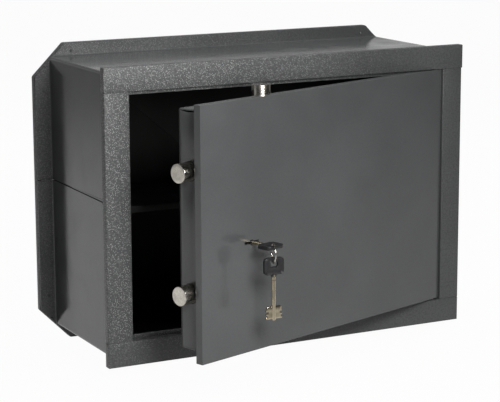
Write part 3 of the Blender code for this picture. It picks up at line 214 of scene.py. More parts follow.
def slab(outline, holes, low, high, edge, order=UPRIGHT, rim=()):
    """A plate between two depths. Its outline and holes are carried round a quarter circle at both
    faces, and rim adds further rings of (distance drawn in, depth sunk) before the faces close."""
    loops = [counter_clockwise(np.asarray(outline, float))]
    loops += [counter_clockwise(np.asarray(hole, float)) for hole in holes]
    turn = arc(0, 90, 3)
    rings = [(inset, sink) for inset, sink in reversed(rim)]
    rings += list(zip(edge * (1 - np.sin(turn)), edge * (1 - np.cos(turn))))
    points, faces, starts, face_loops = [], [], [], []
    total = 0
    for number, loop in enumerate(loops):
        sign = 1 if number == 0 else -1
        flat = [offset(loop, -sign * inset) for inset, _ in rings]
        face_loops.append(flat[0])
        depths = [low + sink for _, sink in rings]
        sections = [np.insert(f, 2, d, axis=1) for f, d in zip(flat, depths)]
        sections += [
            np.insert(f, 2, high - (d - low), axis=1) for f, d in zip(flat[::-1], depths[::-1])
        ]
        sections = np.stack(sections)
        rows, columns = sections.shape[:2]
        faces += (np.array(grid_faces(rows, columns, wrap_columns=True)) + total).tolist()
        starts.append((total, total + (rows - 1) * columns, columns))
        points.append(sections.reshape(-1, 3))
        total += rows * columns
    triangles = filled(face_loops)
    front = np.concatenate([np.arange(a, a + n) for a, _, n in starts])
    back = np.concatenate([np.arange(b, b + n) for _, b, n in starts])
    faces += front[triangles].tolist() + back[triangles].tolist()
    points = np.concatenate(points)
    placed = np.empty_like(points)
    for column, axis in enumerate(order):
        placed[:, "xyz".index(axis)] = points[:, column]
    return placed, faces


def bar(low, high, edge, order=UPRIGHT):
    """A square bar between two corners, its twelve edges rounded by quarter circles."""
    low, high = dict(zip("xyz", low)), dict(zip("xyz", high))
    u, v, w = order
    outline = rounded(rectangle(low[u], low[v], high[u], high[v]), edge, 3)
    return slab(outline, [], low[w], high[w], edge, order)


def bent_strip(corners, radius, thickness):
    """The outline of a folded sheet's end: its middle line with rounded bends, moved half a
    thickness to each side."""
    corners = np.asarray(corners, float)
    steps = 6
    bends = rounded(corners, radius, steps)[steps + 1:-steps - 1]
    middle = np.concatenate([corners[:1], bends, corners[-1:]])
    along = unit(np.gradient(middle, axis=0))
    normal = np.stack([along[:, 1], -along[:, 0]], axis=1)
    half = thickness / 2
    return np.concatenate([middle + normal * half, (middle - normal * half)[::-1]])


def circles(radii, heights, steps):
    """Circles about z: one for each radius, at its height or at heights given all round."""
    angle = around(steps)
    radius = np.asarray(radii)[:, None]
    x, y = radius * np.cos(angle), radius * np.sin(angle)
    return np.stack([x, y, np.broadcast_to(heights, x.shape)], axis=-1)


def turned(profile, steps):
    """A solid of revolution about z: point (radius, height) of the profile, carried round."""
    points = circles(profile[:, 0], profile[:, 1:], steps)
    return points.reshape(-1, 3), grid_faces(len(profile), steps, wrap_columns=True)


def wire(path, radius, sides, side):
    """A round wire: a circle of the radius, square to the path at each of its points. Its angles
    are counted from side, so the path may never run that way."""
    ahead = np.concatenate([path[1:2] - path[:1], path[2:] - path[:-2], path[-1:] - path[-2:-1]])
    along = unit(ahead)
    across = np.cross(along, side)
    if np.linalg.norm(across, axis=1).min() < 0.01:
        raise ValueError("a wire runs along its own side direction")
    first = unit(across)
    second = np.cross(first, along)
    angle = around(sides)[None, :, None]
    about = first[:, None] * np.cos(angle) + second[:, None] * np.sin(angle)
    return loft(path[:, None] + about * np.broadcast_to(radius, len(path))[:, None, None])


def bead(start, end, width, ripples, side=(0, 0, 1)):
    """A weld bead: a wire whose radius swells as a square root at both ends, and between them
    ripples as a cosine."""
    share = np.linspace(0, 1, 8 * ripples + 1)
    path = np.outer(1 - share, start) + np.outer(share, end)
    swell = np.sqrt(0.1 + 0.9 * np.clip(np.minimum(share, 1 - share) * 12, 0, 1))
    ripple = 0.85 + 0.15 * np.cos(share * ripples * 2 * math.pi)
    return wire(path, width / 2 * swell * ripple, sides=10, side=side)


# Places


def vertices(node):
    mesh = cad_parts[node].data
    points = np.empty(len(mesh.vertices) * 3)
    mesh.vertices.foreach_get("co", points)
    return points.reshape(-1, 3)


def corners(node):
    low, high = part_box(node)
    return np.array(low), np.array(high)


def wall_corners(half):
    """The corners of a body half's wall, without its flange: those of its points at the front."""
    points = vertices(f"{half}_shell")
    low, high = points.min(axis=0), points.max(axis=0)
    front = points[points[:, 1] < low[1] + 0.001]
    low[[0, 2]] = front.min(axis=0)[[0, 2]]
    high[[0, 2]] = front.max(axis=0)[[0, 2]]
    return low, high


# The shut door's coordinates have x along the plate from the hinge axis, y back and z up
HINGE_AXIS = sum(corners("hinge_washer")) / 2 * (1, 1, 0)
COSINE, SINE = math.cos(DOOR_OPEN), math.sin(DOOR_OPEN)
TO_WORLD = np.array(((COSINE, SINE, 0), (-SINE, COSINE, 0), (0, 0, 1)))


def door_corners(node):
    """The corners of a CAD node in the shut door's coordinates."""
    points = (vertices(node) - HINGE_AXIS) @ TO_WORLD.T
    return points.min(axis=0), points.max(axis=0)


def on_door(shape):
    return shape[0] @ TO_WORLD + HINGE_AXIS, shape[1]


def moved(shape, place, turn=np.eye(3)):
    return shape[0] @ np.array(turn).T + np.asarray(place), shape[1]


# Turns that lay a shape's own z along x or y
AXIS_X = ((0, 0, 1), (0, 1, 0), (-1, 0, 0))
AXIS_Y = ((1, 0, 0), (0, 0, 1), (0, -1, 0))


def add_piece(title, shape, body, slot, nodes=(), sharp=32, more=()):
    """Puts a shape into a mesh whose faces point outwards, and makes it a piece on a body. It gets
    its slot's finish, and the finishes of more slots for second_finish to give out."""
    points, faces = shape
    mesh = bpy.data.meshes.new(title)
    mesh.from_pydata(points.tolist(), [], faces)
    work = bmesh.new()
    work.from_mesh(mesh)
    bmesh.ops.remove_doubles(work, verts=work.verts, dist=MERGED)
    bmesh.ops.recalc_face_normals(work, faces=work.faces)
    work.to_mesh(mesh)
    work.free()
    mesh.shade_smooth()
    mesh.set_sharp_from_angle(angle=math.radians(sharp))
    piece = bpy.data.objects.new(title, mesh)
    bpy.context.scene.collection.objects.link(piece)
    for name in (slot, *more):
        mesh.materials.append(finish_for(name))
    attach(piece, body)
    if nodes:
        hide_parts(*nodes)
    return piece


def second_finish(piece, low, high, number=1):
    """Gives another of its finishes to the faces whose middles are between two corners."""
    faces = piece.data.polygons
    centres = np.empty(len(faces) * 3)
    given = np.empty(len(faces), np.int32)
    faces.foreach_get("center", centres)
    faces.foreach_get("material_index", given)
    centres = centres.reshape(-1, 3)
    within = np.all((centres > np.asarray(low)) & (centres < np.asarray(high)), axis=1)
    faces.foreach_set("material_index", np.where(within, number, given).astype(np.int32))


# Finishes


class Nodes:
    """A node tree being filled, with a short call for each kind of node."""

    def __init__(self, owner):
        owner.use_nodes = True
        self.tree = owner.node_tree

    def node(self, kind, values=None, **settings):
        made = self.tree.nodes.new(kind)
        for name, value in settings.items():
            setattr(made, name, value)
        for name, value in (values or {}).items():
            self.feed(made.inputs[name], value)
        return made

    def feed(self, socket, value):
        if isinstance(value, bpy.types.NodeSocket):
            self.tree.links.new(value, socket)
        elif hasattr(value, "__len__") and len(value) == 3 and socket.type == "RGBA":
            socket.default_value = (*value, 1)
        else:
            socket.default_value = value

    def range(self, value, low, high, out_low=0.0, out_high=1.0):
        """A smooth step from one value to another, between two limits."""
        limits = {"From Min": low, "From Max": high, "To Min": out_low, "To Max": out_high}
        values = {"Value": value, **limits}
        made = self.node("ShaderNodeMapRange", values, interpolation_type="SMOOTHSTEP")
        return made.outputs["Result"]

    def join(self, first, second, operation="MULTIPLY"):
        return self.node("ShaderNodeMath", {0: first, 1: second}, operation=operation).outputs[0]

    def axis(self, name, where):
        return self.node("ShaderNodeSeparateXYZ", {"Vector": where}).outputs[name]

    def either(self, share, first, second):
        """Two shaders, the second by a share."""
        return self.node("ShaderNodeMixShader", {0: share, 1: first, 2: second}).outputs[0]


class Finish(Nodes):
    """The nodes of a material on object coordinates."""

    def __init__(self, title):
        self.made = bpy.data.materials.new(title)
        super().__init__(self.made)
        self.shader = self.tree.nodes["Principled BSDF"]
        self.where = self.node("ShaderNodeTexCoord").outputs["Object"]

    def placed(self, scale, turn=(0, 0, 0)):
        values = {"Vector": self.where, "Scale": scale, "Rotation": turn}
        return self.node("ShaderNodeMapping", values).outputs["Vector"]

    def noise(self, scale, detail=3.0, roughness=0.5, where=None):
        values = {"Scale": scale, "Detail": detail, "Roughness": roughness}
        values["Vector"] = where or self.where
        return self.node("ShaderNodeTexNoise", values).outputs["Fac"]

    def mix(self, share, first, second, blend="MIX"):
        values = {0: share, 6: first, 7: second}
        made = self.node("ShaderNodeMix", values, data_type="RGBA", blend_type=blend)
        return made.outputs[2]

    def tinted(self, colour, factor):
        """A colour times a factor, which may go above one."""
        return self.mix(1.0, colour, factor, "MULTIPLY")

    def bump(self, height, strength, distance, normal=None):
        values = {"Height": height, "Strength": strength, "Distance": distance}
        if normal is not None:
            values["Normal"] = normal
        return self.node("ShaderNodeBump", values).outputs["Normal"]

    def shade(self, values):
        for name, value in values.items():
            self.feed(self.shader.inputs[name], value)
        return self.made

    def done(self, colour, roughness, normal, metallic=0.0):
        values = {"Base Color": colour, "Roughness": roughness, "Normal": normal}
        return self.shade({**values, "Metallic": metallic})


def scaled(colour, factor):
    return tuple(min(1.0, c * factor) for c in colour[:3])


def hammertone_finish(title, paint):
    """Hammer-effect paint: small pebbles with bright flakes, fewer at the foot. The flakes are
    faded to the right as painted light, brighter where the key lamp falls on the left, and faded
    towards the back as painted shade on the shadowed rear flange. A flake is the middle of a cell,
    as bright as the cell's random red, times three smooth steps across, up and back."""
    finish = Finish(title)
    base = tuple(paint.hammertone)
    scale = {"Vector": finish.where, "Scale": paint.pebble_scale}
    cells = finish.node("ShaderNodeTexVoronoi", scale).outputs
    wander = finish.noise(60, 4)
    fleck = finish.range(cells["Distance"], 0.50, 0.16)
    strong = finish.range(finish.axis("X", cells["Color"]), 0.10, 0.80)
    # Painted light: the flakes fade from left to right, as the key lamp's light falls off across
    # the frame
    across = finish.range(finish.axis("X", finish.where), -0.10, 0.22, 1.0, 0.06)
    up = finish.range(finish.axis("Z", finish.where), -0.17, -0.12, 0.35, 1.0)
    # Painted shade: the flakes dim towards the back, where the rear flange lies in shadow
    rear = finish.range(finish.axis("Y", finish.where), -0.19, -0.10, 1.0, 0.45)
    fleck = finish.join(finish.join(fleck, strong), finish.join(finish.join(across, up), rear))
    ground = finish.tinted(base, finish.range(finish.noise(9, 3), 0.3, 0.7, 0.86, 1.12))
    pits = finish.range(finish.noise(420, 3, 0.6), 0.44, 0.60)
    ground = finish.mix(finish.join(pits, 0.5), ground, scaled(base, 0.5))
    colour = finish.mix(fleck, ground, tuple(paint.fleck))
    rough = finish.range(cells["Distance"], 0.0, 0.6, 0.30, 0.48)
    fine = finish.bump(wander, 0.12, 0.0006)
    crown = finish.range(cells["Distance"], 0.05, 0.55, 1.0, 0.0)
    return finish.done(colour, rough, finish.bump(crown, 0.32, 0.0005, fine))


def satin_finish(title, colour, roughness, peel):
    """Sprayed satin paint: a slight orange peel, soft clouds, and a few fine dull scuffs, each
    where a noise passes a level."""
    finish = Finish(title)
    ground = finish.tinted(tuple(colour), finish.range(finish.noise(7, 4), 0.3, 0.72, 0.88, 1.10))
    ground = finish.tinted(ground, finish.range(finish.noise(900, 2), 0.3, 0.7, 0.94, 1.06))
    stretched = finish.placed((260, 260, 12), (0.2, 0.5, 0.3))
    scuff = finish.range(finish.noise(1, 3, 0.6, stretched), 0.74, 0.80)
    ground = finish.mix(finish.join(scuff, 0.25), ground, scaled(colour, 1.5))
    rough = finish.range(finish.noise(30, 3), 0.25, 0.75, roughness - 0.05, roughness + 0.07)
    rough = finish.join(rough, finish.join(scuff, 0.15), "ADD")
    orange = finish.bump(finish.noise(420, 2), peel, 0.0004)
    return finish.done(ground, rough, finish.bump(finish.noise(45, 2), 0.10, 0.0010, orange))


def metal_finish(title, colour, roughness, mottle, grain, tint, lines=(300, 300, 300)):
    """Plated metal: a mottled tint, a fine lay of tool lines, and worn patches that shine more,
    each a noise between two levels."""
    finish = Finish(title)
    patches = finish.range(finish.noise(140, 5, 0.62), 0.36, 0.66)
    ground = finish.mix(finish.join(patches, mottle), tuple(colour), tuple(tint))
    lay = finish.noise(1, 3, 0.6, finish.placed(lines))
    ground = finish.tinted(ground, finish.range(lay, 0.3, 0.7, 0.92, 1.05))
    rough = finish.range(finish.noise(70, 3), 0.3, 0.7, roughness - 0.06, roughness + 0.10)
    return finish.done(ground, rough, finish.bump(lay, grain, 0.0002), metallic=1.0)


def plastic_finish(title, paint):
    """Moulded black plastic: an even fine grain, handled spots that shine a little more."""
    finish = Finish(title)
    base = tuple(paint.plastic)
    grain = finish.noise(2600, 2)
    handled = finish.range(finish.noise(160, 3), 0.35, 0.65)
    colour = finish.mix(handled, base, scaled(base, 1.7))
    colour = finish.tinted(colour, finish.range(grain, 0.3, 0.7, 0.85, 1.2))
    rough = finish.range(handled, 0, 1, 0.46, 0.34)
    return finish.done(colour, rough, finish.bump(grain, 0.25, 0.0002))


def make_finishes(paint, metal):
    """The finish of each of the record's material slots."""
    return {
        "hammertone_paint": hammertone_finish("hammertone_finish", paint),
        "satin_paint": satin_finish(
            "satin_finish", paint.satin, roughness=paint.satin_roughness, peel=0.10
        ),
        # Painted shade: the dark finish is a near-black colour for the shade inside the safe, given
        # to its inside faces, its shelf and the parts there
        "dark_sheet": satin_finish("inside_shade_finish", paint.dark, roughness=0.5, peel=0.06),
        "nickel_plate": metal_finish(
            "nickel_finish", metal.nickel, roughness=0.22, mottle=0.5, grain=0.10,
            tint=scaled(metal.nickel, 0.72),
        ),
        "zinc_plate": metal_finish(
            "zinc_finish", metal.zinc, roughness=0.38, mottle=0.8, grain=0.15,
            tint=(0.46, 0.44, 0.36),
        ),
        "bright_steel": metal_finish(
            "steel_finish", metal.steel, roughness=0.32, mottle=0.4, grain=0.25,
            tint=scaled(metal.steel, 0.7), lines=(900, 900, 30),
        ),
        "key_brass": metal_finish(
            "brass_finish", metal.brass, roughness=0.19, mottle=0.6, grain=0.18,
            tint=scaled(metal.brass, 0.66), lines=(700, 700, 90),
        ),
        "black_plastic": plastic_finish("black_plastic_finish", paint),
    }


FINISHES = {}


def finish_for(slot):
    """The finish of a material slot, all of them made when the first is asked for."""
    if not FINISHES:
        scene = bpy.context.scene
        FINISHES.update(make_finishes(scene.safe_paint, scene.safe_metal))
    return FINISHES[slot]


# Properties that a user would change


def colour(name, description, default):
    return FloatVectorProperty(
        name=name, description=description, default=default, subtype="COLOR", min=0, max=1
    )


def length(name, description, default, low, high):
    return FloatProperty(
        name=name, description=description, default=default, min=low, max=high, unit="LENGTH"
    )


def power(name, description, default):
    return FloatProperty(name=name, description=description, default=default, min=0, unit="POWER")


class SafePaint(bpy.types.PropertyGroup):
    hammertone: colour(
        "Hammertone", "Ground colour of the hammer-effect paint", (0.072, 0.074, 0.074)
    )
    fleck: colour(
        "Fleck", "Colour of the bright flakes in the hammer-effect paint", (0.36, 0.37, 0.36)
    )
    pebble_scale: FloatProperty(
        name="Pebbles per metre",
        description="How many pebbles of the hammer effect lie along a metre",
        default=760,
        min=50,
    )
    satin: colour(
        "Satin paint", "Colour of the body's and the door's paint", (0.074, 0.076, 0.077)
    )
    satin_roughness: FloatProperty(
        name="Satin roughness",
        description="How dull the body's and the door's paint is",
        default=0.15,
        min=0.05,
        max=1,
        subtype="FACTOR",
    )
    # Painted shade: this near-black colour stands for the shade inside the safe, which has the
    # body's paint
    dark: colour(
        "Inside shade", "Colour of the safe's inside and of its shelf", (0.014, 0.0135, 0.013)
    )
    plastic: colour("Key bow", "Colour of the keys' plastic bows", (0.010, 0.010, 0.011))


class SafeMetal(bpy.types.PropertyGroup):
    nickel: colour("Nickel", "Colour of the plated bolts and of the key ring", (0.60, 0.57, 0.51))
    zinc: colour("Zinc", "Colour of the plated boltwork and screws", (0.50, 0.51, 0.50))
    steel: colour("Steel", "Colour of the bare steel pins and of the lock case", (0.42, 0.42, 0.42))
    brass: colour("Key metal", "Colour of the keys' blades and of the levers", (0.60, 0.52, 0.38))


class SafeShape(bpy.types.PropertyGroup):
    frame_edge: length("Frame edge", "Radius of the frame bars' edges", 0.0008, 0.0001, 0.003)
    fold_radius: length(
        "Fold radius", "Outside radius of the body's long folds", 0.0032, 0.002, 0.006
    )
    flange_radius: length(
        "Flange radius", "Radius of the bend between the body and its rear flange",
        0.0022, 0.0005, 0.004,
    )
    seam_front: length(
        "Seam opening", "Half the seam's opening at the front, where it is widest",
        0.0022, 0.0002, 0.003,
    )
    bolt_chamfer: length(
        "Bolt chamfer", "Width of the chamfer round each bolt's end", 0.0007, 0.0001, 0.002
    )
    round_steps: IntProperty(
        name="Round steps",
        description="How many faces go round a bolt",
        default=96,
        min=24,
        max=256,
    )


class SafeStudio(bpy.types.PropertyGroup):
    key_light: power("Key light", "Power of the lamp in front, a little to the left", 6.5)
    top_light: power("Top light", "Power of the lamp above the safe", 12)
    back_light: power(
        "Back light", "Power of each lamp behind and to the right of the safe", 14
    )
    room_light: FloatProperty(
        name="Room light",
        description="Strength of the even light from all round",
        default=0.10,
        min=0,
    )


# Operators


FRAME_WELD, WELD_MARGIN, WELD_SINK = 0.0009, 0.0004, 0.00035


class BuildFrameBars(bpy.types.Operator):
    """Builds the four bars of the front frame and the ground welds between them"""

    bl_idname = "safe.build_frame_bars"
    bl_label = "Frame bars"

    def execute(self, context):
        for name in ("top_rail", "bottom_rail", "left_stile", "right_stile"):
            node = f"frame_{name}"
            made = bar(*corners(node), context.scene.safe_shape.frame_edge)
            add_piece(f"{name}_bar", made, "safe_body", "hammertone_paint", [node])
        welds = []
        for stile in ("left", "right"):
            low, high = corners(f"frame_{stile}_stile")
            front = low[1] + WELD_SINK
            outer = low[0] + WELD_SINK if stile == "left" else high[0] - WELD_SINK
            for level in (low[2], high[2]):
                start = (low[0] + WELD_MARGIN, front, level)
                end = (high[0] - WELD_MARGIN, front, level)
                welds.append(bead(start, end, FRAME_WELD, ripples=9))
                start = (outer, low[1] + WELD_MARGIN, level)
                end = (outer, high[1] - WELD_MARGIN, level)
                welds.append(bead(start, end, FRAME_WELD, ripples=3))
        add_piece("frame_welds", gathered(*welds), "safe_body", "hammertone_paint")
        return {"FINISHED"}


FLANGE_STEP = 0.0005  # how far the flange's edge stands inside the tray's
FAR = 0.1  # where an edge lies before it is drawn in to the flange's reach
SEAM_REAR = 0.0006  # half the seam's opening at the rear, where the solids have it too
# Painted shade: those inside faces take the dark finish, for the shade inside the safe
SHADE_DEPTH = 0.0016  # faces deeper in the sheet than this are the safe's inside


def flange_sides():
    """Outward normals and distances of the rear flange's eight sides, a step inside the tray's
    box, and how long the tray's cut corners are along its sides."""
    low, high = corners("rear_panel")
    points = vertices("rear_panel")
    at_left = points[np.abs(points[:, 0] - low[0]) < 1e-5]
    leg = high[2] - at_left[:, 2].max()
    slant = math.sqrt(0.5)
    normals = [(-1, 0), (1, 0), (0, -1), (0, 1)]
    reach = [-low[0], high[0], -low[2], high[2]]
    for across, x in ((-1, low[0]), (1, high[0])):
        for up, z in ((-1, low[2]), (1, high[2])):
            normals.append((across * slant, up * slant))
            reach.append((across * x + up * z - leg) * slant)
    return np.array(normals), np.array(reach) - FLANGE_STEP, leg


def flange_reach(points, normals):
    """How far each point of the wall is from the flange's edge, along its own normal."""
    sides, distances, _ = flange_sides()
    facing = normals @ sides.T
    towards = facing > 1e-3
    gap = distances[None] - points @ sides.T
    reach = np.where(towards, gap / np.where(towards, facing, 1), np.inf)
    return np.maximum(reach.min(axis=1), 0)


def wall_path(box_low, box_high, radius, up):
    """The body's wall seen from the front, from the seam on the left round to the seam on the
    right, with the outward normal at each point."""
    left, right = box_low[0], box_high[0]
    leg = flange_sides()[2]
    tray_low, tray_high = corners("rear_panel")
    far, seam = (box_high[2], box_low[2]) if up else (box_low[2], box_high[2])
    sign = 1 if up else -1
    broken = (tray_high if up else tray_low)[2] - sign * leg
    end = far - sign * radius
    climb = np.concatenate([np.linspace(seam, broken, 12)[:-1], np.linspace(broken, end, 8)])
    span = np.concatenate([
        np.linspace(left + radius, tray_low[0] + leg, 6)[:-1],
        np.linspace(tray_low[0] + leg, tray_high[0] - leg, 14)[:-1],
        np.linspace(tray_high[0] - leg, right - radius, 6),
    ])
    bend = arc(0, 90, 8)[1:-1]
    fan = np.stack([-np.cos(bend), sign * np.sin(bend)], axis=1)
    back = (fan * (-1, 1))[::-1]
    points = [
        np.stack([np.full(len(climb), left), climb], axis=1),
        np.array((left + radius, end)) + fan * radius,
        np.stack([span, np.full(len(span), far)], axis=1),
        np.array((right - radius, end)) + back * radius,
        np.stack([np.full(len(climb), right), climb[::-1]], axis=1),
    ]
    normals = [
        np.tile((-1.0, 0.0), (len(climb), 1)), fan,
        np.tile((0.0, float(sign)), (len(span), 1)), back,
        np.tile((1.0, 0.0), (len(climb), 1)),
    ]
    return np.concatenate(points), np.concatenate(normals)


class BuildBodyShells(bpy.types.Operator):
    """Builds the body's two folded halves, each bent out at the rear into its flange"""

    bl_idname = "safe.build_body_shells"
    bl_label = "Body shells"

    def execute(self, context):
        shape = context.scene.safe_shape
        bend, thick = shape.flange_radius, BODY_SHEET
        turn = arc(0, 90, 7)
        for half, up in (("upper", True), ("lower", False)):
            low, high = wall_corners(half)
            points, normals = wall_path(low, high, shape.fold_radius, up)
            front, rear = low[1], high[1]
            face = rear - thick
            # The sheet's section, out from the wall and back from the front, once round it
            out = np.concatenate([
                [-thick, -thick + SHEET_EDGE, -SHEET_EDGE, 0, 0],
                bend - bend * np.cos(turn),
                [FAR - SHEET_EDGE, FAR, FAR, FAR - SHEET_EDGE],
                bend - (bend + thick) * np.cos(turn)[::-1],
            ])
            back = np.concatenate([
                [front + SHEET_EDGE, front, front, front + SHEET_EDGE, (front + face) / 2],
                face - bend + bend * np.sin(turn),
                [face, face + SHEET_EDGE, rear - SHEET_EDGE, rear],
                face - bend + (bend + thick) * np.sin(turn)[::-1],
            ])
            reach = flange_reach(points, normals)[:, None]
            limit = np.where(out > FAR / 2, reach - (FAR - out), reach)
            over = np.where(out < 0, out, np.minimum(out, np.maximum(limit, 0)))
            x = points[:, :1] + normals[:, :1] * over
            z = points[:, 1:] + normals[:, 1:] * over
            sections = np.stack([x, np.broadcast_to(back, x.shape), z], axis=-1)
            share = np.clip((back - front) / (rear - front), 0, 1)
            gap = shape.seam_front * (1 - share) + SEAM_REAR * share - SEAM_REAR
            sections[[0, -1], :, 2] += gap if up else -gap
            piece = add_piece(
                f"{half}_body", loft(sections), "safe_body", "satin_paint", [f"{half}_shell"],
                sharp=40, more=("dark_sheet", "hammertone_paint"),
            )
            # Painted shade: the faces inside the safe take the dark finish, for the shade that
            # falls there
            past_seam = -0.01
            foot, top = (past_seam, SHADE_DEPTH) if up else (SHADE_DEPTH, past_seam)
            second_finish(
                piece,
                (low[0] + SHADE_DEPTH, front - 1, low[2] + foot),
                (high[0] - SHADE_DEPTH, rear + 1, high[2] - top),
            )
            second_finish(piece, (-1, face - 0.0004, -1), (1, face + 0.0004, 1), 2)
        return {"FINISHED"}


# Heights of the tacks behind the frame, and places of those on the flange: how far in from its
# side, and how far along from its top or bottom
TACK_LEVELS = (0.146, 0.101, -0.022, -0.148)
CORNER_TACKS = ((0.0155, 0.0265), (0.0490, 0.0085), (0.0125, 0.0560))


class BuildTackWelds(bpy.types.Operator):
    """Builds the tack welds behind the frame and where the flange's corners were joined"""

    bl_idname = "safe.build_tack_welds"
    bl_label = "Tack welds"

    def execute(self, context):
        low, high = wall_corners("upper")
        tray_low, tray_high = corners("rear_panel")
        face = high[1] - BODY_SHEET - 0.0002
        front = corners("frame_left_stile")[1][1] + 0.0006
        tacks = []
        for sign, wall in ((-1, low[0]), (1, high[0])):
            for level in TACK_LEVELS:
                start = np.array((wall + sign * 0.0002, front, level))
                end = start + (0, 0, 0.006)
                tacks.append(bead(start, end, width=0.0024, ripples=3, side=(0, 1, 0)))
            for up, edge in ((1, tray_high[2]), (-1, tray_low[2])):
                for inward, along in CORNER_TACKS:
                    start = np.array((sign * (tray_high[0] - inward), face, edge - up * along))
                    end = start + (sign * 0.0022, 0, -up * 0.0022)
                    tacks.append(bead(start, end, width=0.0034, ripples=2))
        add_piece("tack_welds", gathered(*tacks), "safe_body", "satin_paint")
        return {"FINISHED"}


class BuildSeamStrips(bpy.types.Operator):
    """Builds the strips behind the body's seam, each with a tapered land that fills the opening"""

    bl_idname = "safe.build_seam_strips"
    bl_label = "Seam strips"

    def execute(self, context):
        sink = 0.0011
        share = np.linspace(0, 1, 24)
        half = (context.scene.safe_shape.seam_front - sink) * (1 - share) + 0.0002 * share
        for side, sign, shell in zip(("left", "right"), (-1, 1), wall_corners("upper")):
            node = f"seam_strip_{side}"
            low, high = corners(node)
            seam = (low[2] + high[2]) / 2
            outer = shell[0]
            skin = outer - sign * sink
            inner = (low if sign < 0 else high)[0] - sign * 0.0004
            front, rear = low[1] - 0.008, high[1]
            y = front + (rear - front) * share
            sections = np.stack([
                np.stack([np.full_like(y, x), y, seam + up * half], axis=1)
                for x, up in ((inner, -1), (skin, -1), (skin, 1), (inner, 1))
            ], axis=1)
            start = (outer - sign * 0.0003, rear + 0.001, seam)
            end = (outer + sign * 0.016, rear + 0.005, seam)
            weld = bead(start, end, width=0.0022, ripples=6)
            made = gathered(bar(low, high, SHEET_EDGE, ENDWAYS), loft(sections), weld)
            add_piece(f"seam_{side}", made, "safe_body", "satin_paint", [node])
        return {"FINISHED"}


class BuildRearTray(bpy.types.Operator):
    """Builds the shallow tray that closes the back, with its rim round the flange"""

    bl_idname = "safe.build_rear_tray"
    bl_label = "Rear tray"

    def execute(self, context):
        low, high = corners("rear_panel")
        leg = flange_sides()[2]
        outline = rounded([
            (low[0] + leg, low[2]), (high[0] - leg, low[2]), (high[0], low[2] + leg),
            (high[0], high[2] - leg), (high[0] - leg, high[2]), (low[0] + leg, high[2]),
            (low[0], high[2] - leg), (low[0], low[2] + leg),
        ], radius=0.004, steps=5)
        wall, fold, tip = BODY_SHEET, 0.0025, 0.0006
        turn, quick = arc(0, 90, 6), arc(0, 90, 3)
        inset = np.concatenate([
            [wall + fold, wall],
            wall - tip + tip * np.cos(quick),
            tip - tip * np.sin(quick),
            fold - fold * np.cos(turn),
        ])
        depth = np.concatenate([
            [high[1] - wall, high[1] - wall - fold * 0.6],
            low[1] + tip - tip * np.sin(quick),
            low[1] + tip - tip * np.cos(quick),
            high[1] - fold + fold * np.sin(turn),
        ])
        sections = [np.insert(offset(outline, -i), 1, d, axis=1) for i, d in zip(inset, depth)]
        tray = add_piece(
            "rear_tray", loft(np.stack(sections)), "safe_body", "hammertone_paint",
            ["rear_panel"], sharp=35, more=["dark_sheet"],
        )
        # Painted shade: the tray's middle, the safe's inside back, takes the dark finish for the
        # shade inside the safe
        rim = 0.03
        second_finish(
            tray, (low[0] + rim, -1, low[2] + rim), (high[0] - rim, high[1] - 0.001, high[2] - rim)
        )
        return {"FINISHED"}


class BuildInnerStrips(bpy.types.Operator):
    """Builds the strips behind the mouth that the shut door meets"""

    bl_idname = "safe.build_inner_strips"
    bl_label = "Stop strips"

    def execute(self, context):
        for name in ("top", "bottom", "left"):
            node = f"stop_lip_{name}"
            made = bar(*corners(node), edge=0.0005)
            add_piece(f"stop_strip_{name}", made, "safe_body", "hammertone_paint", [node])
        return {"FINISHED"}


class BuildShelf(bpy.types.Operator):
    """Builds the shelf with its folded front edge, and its two angle brackets"""

    bl_idname = "safe.build_shelf"
    bl_label = "Shelf"

    def execute(self, context):
        low, high = corners("shelf")
        half = SHELF_SHEET / 2
        line = [
            (low[1] + half, low[2]), (low[1] + half, high[2] - half), (high[1], high[2] - half)
        ]
        strip = bent_strip(line, radius=0.0018, thickness=SHELF_SHEET)
        made = slab(strip, [], low[0], high[0], SHEET_EDGE, ENDWAYS)
        # Painted shade: the shelf and its brackets take the dark finish of the safe's inside
        add_piece("folded_shelf", made, "safe_body", "dark_sheet", ["shelf"])
        sheet = 0.002
        for side, sign in (("left", -1), ("right", 1)):
            node = f"shelf_bracket_{side}"
            low, high = corners(node)
            wall, tip = (low[0], high[0]) if sign < 0 else (high[0], low[0])
            middle, top = wall - sign * sheet / 2, high[2] - sheet / 2
            line = [(middle, low[2]), (middle, top), (tip, top)]
            strip = bent_strip(line, radius=sheet, thickness=sheet)
            made = slab(strip, [], low[1], high[1], SHEET_EDGE)
            add_piece(f"angle_bracket_{side}", made, "safe_body", "dark_sheet", [node])
        return {"FINISHED"}


class BuildDoorBox(bpy.types.Operator):
    """Builds the folded rim behind the door plate, with its bolt holes and open corner"""

    bl_idname = "safe.build_door_box"
    bl_label = "Door box"

    def execute(self, context):
        low, high = door_corners("door_box")
        sheet, edge, gap = DOOR_SHEET, SHEET_EDGE, 0.0009
        side_holes = []
        for name in ("upper", "lower"):
            middle = sum(door_corners(f"side_bolt_{name}")) / 2
            side_holes.append(circle(middle[1], middle[2], BOLT_HOLE, steps=48))
        middle = sum(door_corners("top_bolt")) / 2
        top_hole = circle(middle[0], middle[1], BOLT_HOLE, steps=48)
        inner_top = high[2] - sheet - gap
        left = np.array([
            (low[1], low[2] + sheet), (high[1], low[2] + sheet), (high[1], inner_top),
            (low[1] + 0.55 * (high[1] - low[1]), inner_top - gap),
            (low[1], inner_top + gap * 0.7),
        ])
        right = rectangle(low[1], low[2] + sheet, high[1], high[2] - sheet)
        level = rectangle(low[0], low[1], high[0], high[1])
        made = gathered(
            slab(left, side_holes, low[0], low[0] + sheet, edge, ENDWAYS),
            slab(right, [], high[0] - sheet, high[0], edge, ENDWAYS),
            slab(level, [top_hole], high[2] - sheet, high[2], edge, LEVEL),
            slab(level, [], low[2], low[2] + sheet, edge, LEVEL),
        )
        add_piece("folded_door_box", on_door(made), "door", "satin_paint", ["door_box"])
        return {"FINISHED"}


